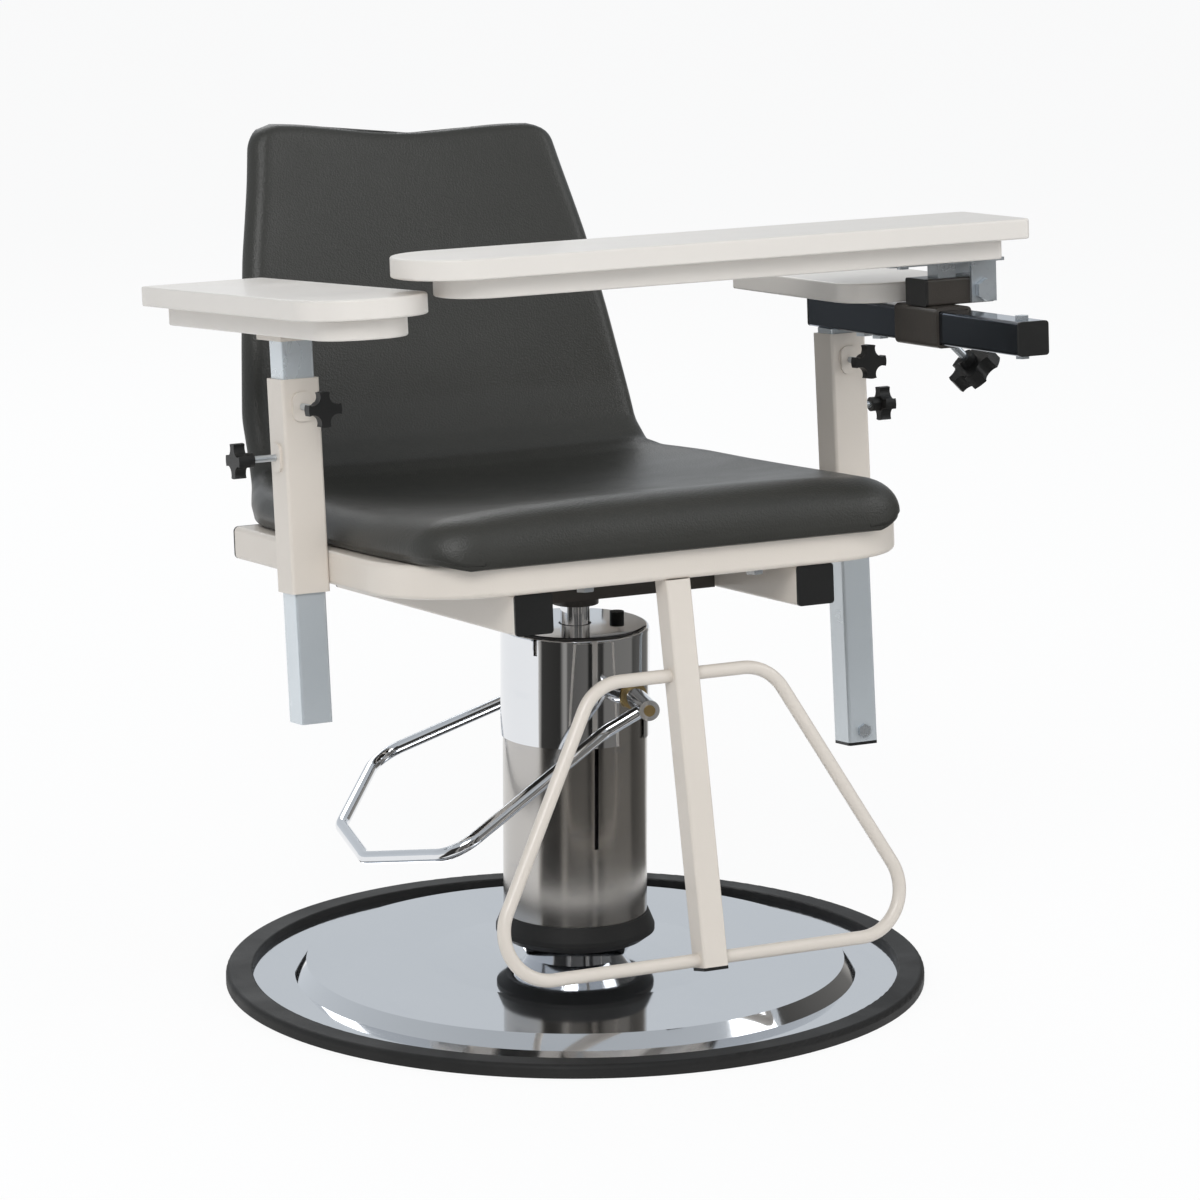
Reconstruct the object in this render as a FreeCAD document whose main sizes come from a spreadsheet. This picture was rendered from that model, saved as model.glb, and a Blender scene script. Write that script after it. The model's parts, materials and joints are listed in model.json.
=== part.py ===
import FreeCAD, Part
import math
import os
import Sketcher

# Phlebotomy chair on a hydraulic pedestal. Millimetres, +Z up, origin on the floor under the column.
# The seat faces -Y. The flip-up arm crosses in front of the seat and is carried on the +X side.

V = FreeCAD.Vector
Turn = FreeCAD.Rotation
Place = FreeCAD.Placement
X_AXIS = V(1, 0, 0)
Y_AXIS = V(0, 1, 0)
Z_AXIS = V(0, 0, 1)

doc = FreeCAD.newDocument("phlebotomy_chair")
sheet = doc.addObject("Spreadsheet::Sheet", "Sizes")

SIZES = [
    # Base plate
    ("ring_width", 22.0, "width of the rubber edging outside the plate"),
    ("ring_height", 12.5, "height of the rubber edging"),
    ("ring_grip", 4.0, "width of the edging's lip over the plate"),
    ("plate_radius", 318.0, "radius of the steel plate inside the edging"),
    ("plate_rim", 4.0, "thickness of the plate at its rim"),
    ("rim_width", 45.0, "width of the flat rim round the raised middle"),
    ("step_run", 11.0, "width of the sloping step of the raised middle"),
    ("plateau_height", 17.4, "height of the slab at the step"),
    ("crown_height", 19.4, "height of the slab at the flange"),
    ("cover_gauge", 1.6, "thickness of the chromed base cover"),
    ("dome_run", 99.0, "width of the shallow dome round the neck"),
    ("base_angle", 13.0, "angle of the lever axle from the seat's front, degrees"),
    # Pump
    ("neck_foot", 47.0, "radius of the neck at the plate"),
    ("neck_top", 63.0, "radius of the neck under the pump"),
    ("neck_bore", 40.0, "bore of the neck"),
    ("neck_height", 22.0, "height of the neck"),
    ("collar_radius", 77.3, "widest radius of the rubber collar"),
    ("collar_drop", 3.0, "depth of the collar below the pump housing"),
    ("collar_foot", 68.0, "radius of the collar's underside"),
    ("collar_belly", 4.0, "height of the collar's widest place above the housing's foot"),
    ("collar_band", 5.0, "height of the collar's widest band"),
    ("collar_height", 23.0, "height of the collar's top above the housing's foot"),
    ("collar_lip", 1.6, "thickness of the collar's top lip"),
    ("housing_radius", 69.85, "outer radius of the pump housing"),
    ("housing_wall", 3.0, "wall of the pump housing"),
    ("housing_floor", 6.0, "thickness of the housing's floor"),
    ("housing_height", 303.0, "height of the pump housing"),
    ("slot_place", 5.0, "sideways place of the sight slot in the housing's front"),
    ("slot_width", 4.0, "width of the sight slot"),
    ("slot_bottom", 100.0, "height of the slot's end above the housing's foot"),
    ("slot_length", 120.0, "length of the sight slot"),
    ("shroud_radius", 72.0, "outer radius of the upper cover"),
    ("shroud_wall", 1.5, "wall of the upper cover"),
    ("shroud_height", 108.0, "height of the upper cover"),
    ("shroud_top_gap", 3.5, "space between the housing and the cover's top"),
    ("shroud_round", 5.0, "rounding of the cover's top edge"),
    ("window_width", 30.0, "width of the lever windows in the upper cover"),
    ("slit_place", 50.6, "sideways place of the slit in the upper cover"),
    ("slit_width", 2.8, "width of the slit"),
    ("slit_length", 16.0, "length of the slit"),
    ("plug_radius", 7.0, "radius of the filler plug"),
    ("plug_height", 7.0, "height of the filler plug"),
    ("plug_reach", 45.0, "distance of the filler plug from the column's axis"),
    ("bore_radius", 24.0, "bore of the lift cylinder"),
    ("barrel_wall", 6.0, "wall of the lift cylinder"),
    ("block_foot", 8.0, "thickness of the pump block's foot"),
    ("block_foot_radius", 60.0, "radius of the pump block's foot"),
    ("head_height", 15.0, "height of the cylinder head"),
    ("head_drop", 1.0, "depth of the cylinder head below the housing's rim"),
    ("rod_radius", 14.3, "radius of the lift rod"),
    ("rod_gap", 0.08, "running gap round the lift rod and the piston"),
    ("piston_height", 15.0, "height of the lift piston"),
    ("piston_start", 20.0, "height of the lowered piston above the block's foot"),
    # Lever
    ("axle_offset", 43.0, "distance of the lever axle from the column's axis"),
    ("axle_drop", 55.0, "depth of the lever axle below the housing's rim"),
    ("axle_radius", 10.0, "radius of the lever axle"),
    ("axle_half", 126.0, "half length of the lever axle"),
    ("bush_radius", 13.0, "outer radius of the axle bushes"),
    ("bush_start", 44.0, "inner end of the axle bushes from the middle"),
    ("bush_length", 20.0, "length of an axle bush"),
    ("axle_gap", 0.06, "running gap round the lever axle"),
    ("lever_angle", 28.8, "angle of the lever below level, degrees"),
    ("lever_rod", 6.35, "radius of the lever's rod"),
    ("lever_root", 112.0, "distance of the rod's ends from the axle's middle"),
    ("lever_neck", 47.0, "length of the lever's parallel part"),
    ("lever_shoulder", 230.0, "distance of the loop's corners from the axle"),
    ("lever_half", 192.0, "half width of the loop at its corners"),
    ("lever_nose", 299.0, "distance of the loop's nose from the axle"),
    ("nose_half", 62.0, "half width of the loop's nose"),
    ("lever_bend", 30.0, "bend radius of the lever's rod"),
    ("crank_reach", 16.0, "length of the crank on the axle"),
    ("crank_place", 38.0, "distance of the crank from the axle's middle"),
    ("crank_width", 10.0, "width of the crank"),
    ("crank_tip", 6.0, "radius of the crank's tip"),
    ("end_screw_radius", 5.5, "radius of the brass end screws"),
    ("end_screw_depth", 3.0, "depth of the brass end screws"),
    ("end_screw_proud", 1.0, "height of the brass end screws above the axle's end"),
    ("plunger_radius", 5.0, "radius of the pump plunger"),
    ("plunger_gap", 0.08, "running gap round the plunger"),
    ("plunger_length", 150.0, "length of the plunger"),
    ("plunger_head", 7.5, "radius of the plunger's head"),
    ("plunger_head_height", 5.0, "height of the plunger's head"),
    ("plunger_barrel", 9.0, "outer radius of the plunger's barrel"),
    ("stroke_room", 44.7, "space between the plunger's barrel and its head"),
    ("tip_gap", 0.3, "gap between the crank's tip and the plunger"),
    # Seat frame
    ("hub_rise", 20.0, "height of the swivel hub above the upper cover"),
    ("hub_length", 46.5, "height of the frame's underside above the hub's lower end"),
    ("frame_tilt", 4.7, "backward tilt of the seat frame, degrees"),
    ("frame_width", 540.0, "width over the frame tube"),
    ("frame_front", 218.5, "front of the frame tube from the column's axis"),
    ("frame_rear", 197.0, "rear end of the frame tube from the column's axis"),
    ("frame_bend", 100.0, "outer bend radius of the frame tube"),
    ("frame_side", 31.75, "side of the square frame tube"),
    ("frame_corner", 5.0, "corner radius of the frame tube"),
    ("tube_wall", 2.5, "wall of the frame tubes"),
    ("cross_place", 178.0, "distance of the rear cross tube behind the column's axis"),
    ("beam_side", 38.1, "side of the square beams"),
    ("beam_corner", 3.2, "corner radius of beams, posts and sleeves"),
    ("beam_place", 146.0, "distance of each beam from the middle"),
    ("beam_front", 214.0, "front of the beam caps from the column's axis"),
    ("cap_lip", 3.0, "thickness of a tube cap's lip"),
    ("cap_depth", 12.0, "depth of a tube cap's plug"),
    ("cap_gap", 0.2, "gap between a cap's plug and its tube"),
    ("channel_half", 44.0, "half depth of the mounting channel"),
    ("channel_wall", 6.0, "wall of the mounting channel"),
    ("hub_radius", 23.0, "radius of the swivel hub"),
    ("hub_grip", 30.0, "length of rod held in the hub"),
    ("bolt_radius", 4.0, "radius of the seat bolts"),
    ("bolt_head", 7.5, "radius of the seat bolts' heads"),
    ("bolt_head_height", 4.5, "height of the seat bolts' heads"),
    ("bolt_place", 88.0, "distance of the seat bolts from the middle"),
    ("hole_gap", 0.2, "gap between a bolt and its clearance hole"),
    # Seat
    ("board_inset", 65.0, "inset of the seat board's sides from the frame's outer faces"),
    ("board_front", 212.0, "front of the seat board"),
    ("board_rear", 190.0, "rear of the seat board"),
    ("board_thick", 9.0, "thickness of the seat board"),
    ("soft_gap", 0.3, "gap round the soft seat"),
    ("shell_lift", 1.0, "space between the frame tube and the padding"),
    ("padding_length", 640.0, "length of the padding from its front to the rear of its back"),
    # Footrest
    ("foot_side", 25.4, "side of the square footrest post"),
    ("foot_wall", 2.0, "wall of the footrest post"),
    ("foot_corner", 2.5, "corner radius of the footrest post"),
    ("foot_angle", 12.9, "forward lean of the footrest post, degrees"),
    ("foot_length", 361.0, "length of the footrest post below the frame"),
    ("foot_over", 15.0, "length of post trimmed to the frame's underside"),
    ("foot_top", 206.1, "distance of the post's middle from the column's axis at the top"),
    ("foot_rise", 13.9, "height above the frame's underside that the post is measured from"),
    ("hoop_rod", 6.35, "radius of the footrest hoop's rod"),
    ("hoop_top", 86.5, "depth of the hoop's top bar"),
    ("hoop_end", 10.3, "distance of the hoop's bottom bar from the post's end"),
    ("hoop_top_half", 90.5, "half width of the hoop's top corners before bending"),
    ("hoop_bottom_half", 237.0, "half width of the hoop's bottom corners before bending"),
    ("hoop_bend", 45.0, "bend radius of the hoop"),
    # Arm posts and sleeves
    ("post_angle", 6.15, "backward lean of the arm posts, degrees"),
    ("post_place", 16.0, "distance of the posts in front of the column's axis"),
    ("post_side", 31.75, "side of the square arm posts"),
    ("post_wall", 2.0, "wall of the arm posts"),
    ("slide_gap", 0.15, "gap between a post and its sleeve"),
    ("sleeve_drop", 6.0, "length of sleeve below the frame's underside"),
    ("sleeve_length", 200.0, "length of the arm sleeves"),
    ("left_post_drop", 129.0, "length of the left post below the frame's underside"),
    ("left_post_rise", 230.0, "length of the left post above the frame's underside"),
    ("right_post_drop", 211.0, "length of the right post and cap below the frame's underside"),
    ("front_knob_height", 168.0, "height of the front knobs on the sleeves"),
    ("side_knob_height", 121.0, "height of the side knobs on the sleeves"),
    ("insert_width", 20.0, "width of a knob insert"),
    ("insert_height", 27.0, "height of a knob insert"),
    ("insert_thick", 2.5, "thickness of a knob insert"),
    ("insert_round", 7.0, "corner radius of a knob insert"),
    ("stud_radius", 3.2, "radius of a knob's stud"),
    ("stud_fit", 0.06, "running gap round a knob's stud"),
    ("stud_gap", 0.3, "gap between a stud's end and the post"),
    ("knob_half", 16.5, "tip radius of a cross knob"),
    ("knob_thick", 11.0, "thickness of a cross knob"),
    ("knob_hub", 7.0, "radius of a cross knob's hub"),
    ("knob_hub_length", 9.0, "length of a cross knob's hub"),
    ("knob_scoop", 8.0, "radius of the scoops between a cross knob's tips"),
    ("knob_scoop_place", 17.5, "distance of a cross knob's scoops from its middle"),
    ("left_front_reach", 33.0, "free stud length of the left front knob"),
    ("left_side_reach", 23.0, "free stud length of the left side knob"),
    ("right_front_reach", 22.0, "free stud length of the right front knob"),
    ("right_side_reach", 10.0, "free stud length of the right side knob"),
    # Arm boards
    ("panel_thick", 19.0, "thickness of an arm board"),
    ("panel_width", 127.0, "width of the upper arm boards"),
    ("panel_inset", 19.0, "inset of a lower board from its upper board"),
    ("panel_edge", 2.0, "rounding of the boards' edges"),
    ("left_panel_rear", 215.0, "rear of the left arm board from its post"),
    ("left_panel_front", 221.0, "front of the left arm board from its post"),
    ("panel_front_round", 60.0, "corner radius of the left board's front"),
    ("panel_rear_round", 6.0, "corner radius of the boards' square ends"),
    ("bracket_thick", 8.0, "thickness of the left arm's bracket"),
    ("bracket_half", 29.0, "half depth of the left arm's bracket"),
    ("bracket_inner", 60.0, "reach of the left arm's bracket towards the seat"),
    ("bracket_outer", 22.0, "reach of the left arm's bracket away from the seat"),
    ("screw_radius", 2.5, "radius of the wood screws"),
    ("screw_head", 5.5, "radius of the wood screws' heads"),
    ("screw_head_height", 2.5, "height of the wood screws' heads"),
    ("screw_bite", 14.0, "length of a wood screw in its board"),
    # Arm bar and carriage
    ("bar_tilt", 4.4, "upward tilt of the arm bar, degrees"),
    ("bar_rise", 199.5, "height of the bar's underside above the frame's, over the column"),
    ("bar_rear", 39.5, "rear end of the bar behind the column's axis"),
    ("bar_front", 366.0, "front of the bar's cap from the column's axis"),
    ("right_panel_rear", 108.0, "rear of the right arm board"),
    ("right_panel_front", 145.0, "front of the right arm board"),
    ("right_panel_round", 42.0, "corner radius of the right board's front"),
    ("stop_place", 345.0, "distance of the bar's stop bolt from the column's axis"),
    ("stop_radius", 3.0, "radius of the bar's stop bolt"),
    ("stop_head", 6.0, "radius of the bar's stop bolt head"),
    ("stop_head_height", 4.0, "height of the bar's stop bolt head"),
    ("bar_bolt_near", 46.0, "first board bolt in front of the column's axis"),
    ("bar_bolt_far", 78.0, "second board bolt in front of the column's axis"),
    ("post_bolt_rise", 11.0, "height of the post's stop bolt above the post's cap"),
    ("carriage_rear", 141.0, "rear of the carriage from the column's axis"),
    ("carriage_length", 79.4, "length of the carriage"),
    ("carriage_corner", 5.0, "corner radius of the carriage"),
    ("block_left", 18.0, "left end of the hinge block from the bar's middle"),
    ("block_right", 56.0, "right end of the hinge block from the bar's middle"),
    ("block_height", 25.4, "height of the hinge block"),
    ("block_depth", 38.1, "depth of the hinge block"),
    ("pivot_place", 43.5, "hinge bolt from the bar's middle"),
    ("pivot_radius", 5.0, "radius of the hinge bolt"),
    ("pivot_gap", 0.08, "running gap round the hinge bolt"),
    ("pivot_head", 9.5, "half the width across flats of the hinge bolt's head"),
    ("pivot_head_height", 6.5, "height of the hinge bolt's head"),
    ("pivot_nut_height", 5.0, "height of the hinge bolt's nut"),
    ("hinge_wall", 3.2, "thickness of the hinge bracket"),
    ("hinge_gap", 0.25, "gap between the hinge block and the bracket's ears"),
    ("hinge_rise", 13.3, "space between the hinge block and the bracket"),
    ("hinge_left", 45.0, "left end of the hinge bracket from the bar's middle"),
    ("hinge_right", 66.0, "right end of the hinge bracket from the bar's middle"),
    ("ear_width", 27.0, "width of the hinge bracket's ears"),
    ("ear_drop", 11.6, "length of the ears below the hinge bolt"),
    ("rest_left", 1.0, "left end of the rest pad from the bar's middle"),
    ("rest_right", 20.0, "right end of the rest pad from the bar's middle"),
    ("rest_half", 10.0, "half depth of the rest pad"),
    ("flip_short", 28.1, "distance of the flip arm's free end from the left post's axis"),
    ("flip_right", 72.0, "right end of the flip arm from the bar's middle"),
    ("flip_round", 60.0, "corner radius of the flip arm's free end"),
    ("flip_inset", 40.0, "inset of the lower board at the flip arm's free end"),
    ("panel_lift", 4.0, "space between the bar and the right arm board"),
    ("bolt_bite", 14.0, "length of a board bolt in its board"),
    ("clamp_radius", 4.0, "radius of the clamp screw"),
    ("clamp_start", 0.4, "gap between the clamp screw and the bar's corner"),
    ("clamp_reach", 62.0, "distance of the clamp knob from the bar's middle"),
    ("clamp_knob_half", 25.0, "radius of the clamp knob"),
    ("clamp_knob_thick", 15.0, "thickness of the clamp knob"),
    ("clamp_hub", 8.5, "radius of the clamp knob's hub"),
    ("clamp_hub_length", 8.0, "length of the clamp knob's hub"),
    ("clamp_scoop", 9.0, "radius of the scoops in the clamp knob"),
    ("clamp_scoop_place", 27.0, "distance of the clamp knob's scoops from its middle"),
    ("cut_over", 20.0, "overrun of every cut"),
]

for row, (alias, number, note) in enumerate(SIZES, 1):
    sheet.set(f"A{row}", note)
    sheet.set(f"B{row}", str(number))
    sheet.setAlias(f"B{row}", alias)
doc.recompute()


class Size:
    """A length that knows both its value and the sheet expression that gives it."""

    def __init__(self, value, text):
        self.value = float(value)
        self.text = text

    def __float__(self):
        return self.value

    def __add__(self, other):
        other = as_size(other)
        return Size(self.value + other.value, f"({self.text} + {other.text})")

    def __sub__(self, other):
        other = as_size(other)
        return Size(self.value - other.value, f"({self.text} - {other.text})")

    def __mul__(self, other):
        other = as_size(other)
        return Size(self.value * other.value, f"({self.text} * {other.text})")

    def __truediv__(self, other):
        other = as_size(other)
        return Size(self.value / other.value, f"({self.text} / {other.text})")

    def __neg__(self):
        return Size(-self.value, f"(0 - {self.text})")

    def __radd__(self, other):
        return as_size(other) + self

    def __rsub__(self, other):
        return as_size(other) - self

    def __rmul__(self, other):
        return as_size(other) * self


def as_size(number):
    if isinstance(number, Size):
        return number
    return Size(number, str(number))


class Sizes:
    """Gives each named size of the sheet as an attribute."""

    def __getattr__(self, alias):
        return Size(getattr(sheet, alias), f"Sizes.{alias}")


s = Sizes()
pieces = []


def bind(thing, prop, amount):
    """Sets a property now and ties it to the sheet."""
    amount = as_size(amount)
    setattr(thing, prop, amount.value)
    thing.setExpression(prop, amount.text)


def new_body(label, place=None):
    body = doc.addObject("PartDesign::Body", label)
    body.Label = label
    if place is not None:
        body.Placement = place
    pieces.append(body)
    return body


def new_sketch(body, role="XY_Plane", lift=None, name="outline"):
    sketch = body.newObject("Sketcher::SketchObject", name)
    plane = [item for item in body.Origin.OriginFeatures if item.Role == role][0]
    sketch.AttachmentSupport = [(plane, "")]
    sketch.MapMode = "FlatFace"
    if lift is not None:
        lift = as_size(lift)
        sketch.AttachmentOffset = Place(V(0, 0, lift.value), Turn())
        sketch.setExpression("AttachmentOffset.Base.z", lift.text)
    return sketch


def fix(sketch, kind, *args):
    """Adds a constraint whose last argument is a size tied to the sheet."""
    amount = as_size(args[-1])
    index = sketch.addConstraint(Sketcher.Constraint(kind, *args[:-1], amount.value))
    sketch.setExpression(f"Constraints[{index}]", amount.text)


def draw_polygon(sketch, points):
    """Closed outline through points of positive or zero sizes."""
    spots = [V(float(a), float(b), 0) for a, b in points]
    count = len(spots)
    first = sketch.GeometryCount
    for n in range(count):
        sketch.addGeometry(Part.LineSegment(spots[n], spots[(n + 1) % count]), False)
    for n in range(count):
        after = first + (n + 1) % count
        sketch.addConstraint(Sketcher.Constraint("Coincident", first + n, 2, after, 1))
    for n, (a, b) in enumerate(points):
        line = first + n
        if float(a) == 0:
            sketch.addConstraint(Sketcher.Constraint("PointOnObject", line, 1, -2))
        else:
            fix(sketch, "DistanceX", -1, 1, line, 1, a)
        if float(b) == 0:
            sketch.addConstraint(Sketcher.Constraint("PointOnObject", line, 1, -1))
        else:
            fix(sketch, "DistanceY", -1, 1, line, 1, b)


def draw_rounded(sketch, left, right, front, back, rounds):
    """Rectangle round the origin with its own radius at each corner.

    The corners run from front left, anticlockwise. All distances are from the origin.
    """
    x0, x1, y0, y1 = -float(left), float(right), -float(front), float(back)
    corners = [(x0, y0), (x1, y0), (x1, y1), (x0, y1)]
    inward = [(1, 1), (-1, 1), (-1, -1), (1, -1)]
    first = sketch.GeometryCount
    radii = [float(r) for r in rounds]
    for n in range(4):
        m = (n + 1) % 4
        if n % 2 == 0:
            a = V(corners[n][0] + inward[n][0] * radii[n], corners[n][1], 0)
            b = V(corners[m][0] + inward[m][0] * radii[m], corners[m][1], 0)
        else:
            a = V(corners[n][0], corners[n][1] + inward[n][1] * radii[n], 0)
            b = V(corners[m][0], corners[m][1] + inward[m][1] * radii[m], 0)
        sketch.addGeometry(Part.LineSegment(a, b), False)
    for n in range(4):
        middle = V(corners[n][0] + inward[n][0] * radii[n], corners[n][1] + inward[n][1] * radii[n], 0)
        start = math.pi + n * math.pi / 2
        circle = Part.Circle(middle, Z_AXIS, radii[n])
        sketch.addGeometry(Part.ArcOfCircle(circle, start, start + math.pi / 2), False)
    for n in range(4):
        arc = first + 4 + n
        before = first + (n + 3) % 4
        sketch.addConstraint(Sketcher.Constraint("Tangent", before, 2, arc, 1))
        sketch.addConstraint(Sketcher.Constraint("Tangent", arc, 2, first + n, 1))
        kind = "Horizontal" if n % 2 == 0 else "Vertical"
        sketch.addConstraint(Sketcher.Constraint(kind, first + n))
        fix(sketch, "Radius", arc, rounds[n])
    fix(sketch, "DistanceY", first, 1, -1, 1, front)
    fix(sketch, "DistanceX", -1, 1, first + 1, 1, right)
    fix(sketch, "DistanceY", -1, 1, first + 2, 1, back)
    fix(sketch, "DistanceX", first + 3, 1, -1, 1, left)


def draw_circle(sketch, radius, x=0, y=0):
    """Circle whose middle is given by sizes, of either sign."""
    index = sketch.addGeometry(Part.Circle(V(float(x), float(y), 0), Z_AXIS, float(radius)), False)
    fix(sketch, "Radius", index, radius)
    for kind, amount in (("DistanceX", as_size(x)), ("DistanceY", as_size(y))):
        if amount.value > 0:
            fix(sketch, kind, -1, 1, index, 3, amount)
        elif amount.value < 0:
            fix(sketch, kind, index, 3, -1, 1, -amount)
        else:
            axis = -2 if kind == "DistanceX" else -1
            sketch.addConstraint(Sketcher.Constraint("PointOnObject", index, 3, axis))


def add_pad(body, sketch, length, middle=False, name="pad"):
    pad = body.newObject("PartDesign::Pad", name)
    pad.Profile = sketch
    bind(pad, "Length", length)
    pad.Midplane = middle
    sketch.Visibility = False
    return pad


def add_pocket(body, sketch, length, middle=False, backwards=False, name="pocket"):
    pocket = body.newObject("PartDesign::Pocket", name)
    pocket.Profile = sketch
    bind(pocket, "Length", length)
    pocket.Midplane = middle
    pocket.Reversed = backwards
    return pocket


def add_fillet(body, radius, wanted, name="rounding"):
    """Rounds the edges of the body's last feature that the test picks."""
    doc.recompute()
    tip = body.Tip
    names = [f"Edge{n}" for n, edge in enumerate(tip.Shape.Edges, 1) if wanted(edge)]
    fillet = body.newObject("PartDesign::Fillet", name)
    fillet.Base = (tip, names)
    bind(fillet, "Radius", radius)
    return fillet


def turned(label, points, place=None):
    """Body of revolution about Z from a profile of radius and height."""
    body = new_body(label, place)
    sketch = new_sketch(body, "XZ_Plane")
    draw_polygon(sketch, points)
    spin = body.newObject("PartDesign::Revolution", "turn")
    spin.Profile = sketch
    spin.ReferenceAxis = (sketch, ["V_Axis"])
    spin.Angle = 360
    return body


def is_circle(radius, height):
    """Picks the circular edges of one radius at one height."""
    def test(edge):
        curve = edge.Curve
        if curve.TypeId != "Part::GeomCircle":
            return False
        near = abs(curve.Radius - float(radius)) < 1e-3 * float(radius)
        return near and abs(curve.Center.z - float(height)) < 1e-4 * float(radius)
    return test


def tube(label, side, wall, corner, length, place):
    """Square hollow tube along local Z, centred on its axis."""
    body = new_body(label, place)
    sketch = new_sketch(body)
    half = side / 2
    draw_rounded(sketch, half, half, half, half, [corner] * 4)
    hollow = half - wall
    inner = corner / 3
    draw_rounded(sketch, hollow, hollow, hollow, hollow, [inner] * 4)
    add_pad(body, sketch, length)
    return body


def side_hole(body, radius, height, role="XZ_Plane", reach=None, backwards=False, offset=0):
    """Round hole across a tube at one height, through one wall or both."""
    sketch = new_sketch(body, role, name="hole_outline")
    draw_circle(sketch, radius, offset, height)
    through = reach is None
    length = s.beam_side * 4 if through else reach
    add_pocket(body, sketch, length, middle=through, backwards=backwards, name="hole")


def plain(label, shape, place=None):
    """Piece whose shape is worked out in code from the sheet's sizes."""
    item = doc.addObject("Part::Feature", label)
    item.Label = label
    item.Shape = shape
    if place is not None:
        item.Placement = place
    pieces.append(item)
    return item


def rod(radius, start, end):
    """Round bar from one point to another."""
    start, end = V(*[float(c) for c in start]), V(*[float(c) for c in end])
    return Part.makeCylinder(float(radius), (end - start).Length, start, end - start)


def slab(low, high):
    """Box between two corners."""
    low, high = V(*[float(c) for c in low]), V(*[float(c) for c in high])
    size = high - low
    return Part.makeBox(size.x, size.y, size.z, low)


def prism(half_flats, start, end):
    """Hexagonal bar between two points on a line along a main axis."""
    start, end = V(*[float(c) for c in start]), V(*[float(c) for c in end])
    along = end - start
    corner = float(half_flats) / math.cos(math.pi / 6)
    side = V(0, 0, 1) if abs(along.z) < 1e-6 else V(1, 0, 0)
    points = [start + Turn(along, 60 * n).multVec(side * corner) for n in range(7)]
    return Part.Face(Part.makePolygon(points)).extrude(along)


def bent_path(corners, radius, closed=False):
    """Wire through corner points with a tangent arc of one radius at each bend."""
    corners = [V(*[float(c) for c in p]) for p in corners]
    count = len(corners)
    bends = range(count) if closed else range(1, count - 1)
    arcs = {}
    for n in bends:
        before = (corners[n - 1] - corners[n]).normalize()
        after = (corners[(n + 1) % count] - corners[n]).normalize()
        half = before.getAngle(after) / 2
        run = float(radius) / math.tan(half)
        to_middle = (before + after).normalize()
        centre = corners[n] + to_middle * (float(radius) / math.sin(half))
        middle = centre - to_middle * float(radius)
        arcs[n] = (corners[n] + before * run, middle, corners[n] + after * run)
    edges = []
    last = arcs[count - 1][2] if closed else corners[0]
    for n in range(count):
        if n in arcs:
            start, middle, end = arcs[n]
            edges.append(Part.makeLine(last, start))
            edges.append(Part.Arc(start, middle, end).toShape())
            last = end
    if not closed:
        edges.append(Part.makeLine(last, corners[-1]))
    return Part.Wire(edges)


def swept(path, profile):
    """Solid carried along a path."""
    maker = Part.BRepOffsetAPI.MakePipeShell(path)
    maker.add(profile, False, False)
    maker.build()
    maker.makeSolid()
    return maker.shape()


def swept_rod(path, radius):
    """Round rod along a path, starting square to it."""
    edge = path.OrderedEdges[0]
    start = edge.valueAt(edge.FirstParameter)
    along = edge.tangentAt(edge.FirstParameter)
    circle = Part.Wire(Part.makeCircle(float(radius), start, along))
    return swept(path, circle)


# Heights of the column, each from the one below it
deck = s.crown_height + s.cover_gauge
foot_top = deck + s.neck_height
housing_top = foot_top + s.housing_height
axle_height = housing_top - s.axle_drop
shroud_top = housing_top + s.shroud_top_gap + s.shroud_wall
hub_bottom = shroud_top + s.hub_rise
frame_height = hub_bottom + s.hub_length

# Places of the groups
base_place = Place(V(0, 0, 0), Turn(Z_AXIS, -float(s.base_angle)))
frame_place = Place(V(0, 0, float(frame_height)), Turn(X_AXIS, -float(s.frame_tilt)))
frame_half = s.frame_width / 2
sleeve_centre = frame_half + s.beam_side / 2
foot_level = frame_height + s.foot_rise
foot_place = Place(V(0, -float(s.foot_top), float(foot_level)), Turn(X_AXIS, -float(s.foot_angle)))
bar_level = frame_height + s.bar_rise
bar_place = Place(V(float(sleeve_centre), 0, float(bar_level)), Turn(X_AXIS, -float(s.bar_tilt)))
along_y = Turn(X_AXIS, -90)


def post_frame(side):
    """Frame of an arm post: origin where its axis meets the frame's underside."""
    spot = frame_place.multVec(V(side * float(sleeve_centre), -float(s.post_place), 0))
    return Place(spot, Turn(X_AXIS, -float(s.post_angle)))


left_place = post_frame(-1)
right_place = post_frame(1)

# Base plate: a heavy slab, its chromed cover and the rubber edging
ring_radius = s.plate_radius + s.ring_width
ring_lip = s.plate_radius - s.ring_grip
step_foot = s.plate_radius - s.rim_width
step_top = step_foot - s.step_run
dome_radius = s.neck_foot + s.dome_run
disc_points = [
    (0, 0), (s.plate_radius, 0), (s.plate_radius, s.plate_rim), (step_foot, s.plate_rim),
    (step_top, s.plateau_height), (dome_radius, s.plateau_height), (s.neck_foot, s.crown_height),
    (0, s.crown_height),
]
turned("base_disc", disc_points)

rim_top = s.plate_rim + s.cover_gauge
cover_points = [
    (s.neck_foot, s.crown_height), (dome_radius, s.plateau_height), (step_top, s.plateau_height),
    (step_foot, s.plate_rim), (s.plate_radius, s.plate_rim), (s.plate_radius, rim_top),
    (step_foot, rim_top), (step_top, s.plateau_height + s.cover_gauge),
    (dome_radius, s.plateau_height + s.cover_gauge), (s.neck_foot, deck),
]
turned("base_cover", cover_points)

ring_points = [
    (s.plate_radius, 0), (ring_radius, 0), (ring_radius, s.ring_height),
    (ring_lip, s.ring_height), (ring_lip, rim_top), (s.plate_radius, rim_top),
]
ring = turned("base_ring", ring_points)
add_fillet(ring, s.ring_height * 0.4, is_circle(ring_radius, s.ring_height))
add_fillet(ring, s.ring_height * 0.15, is_circle(ring_lip, s.ring_height))

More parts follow.
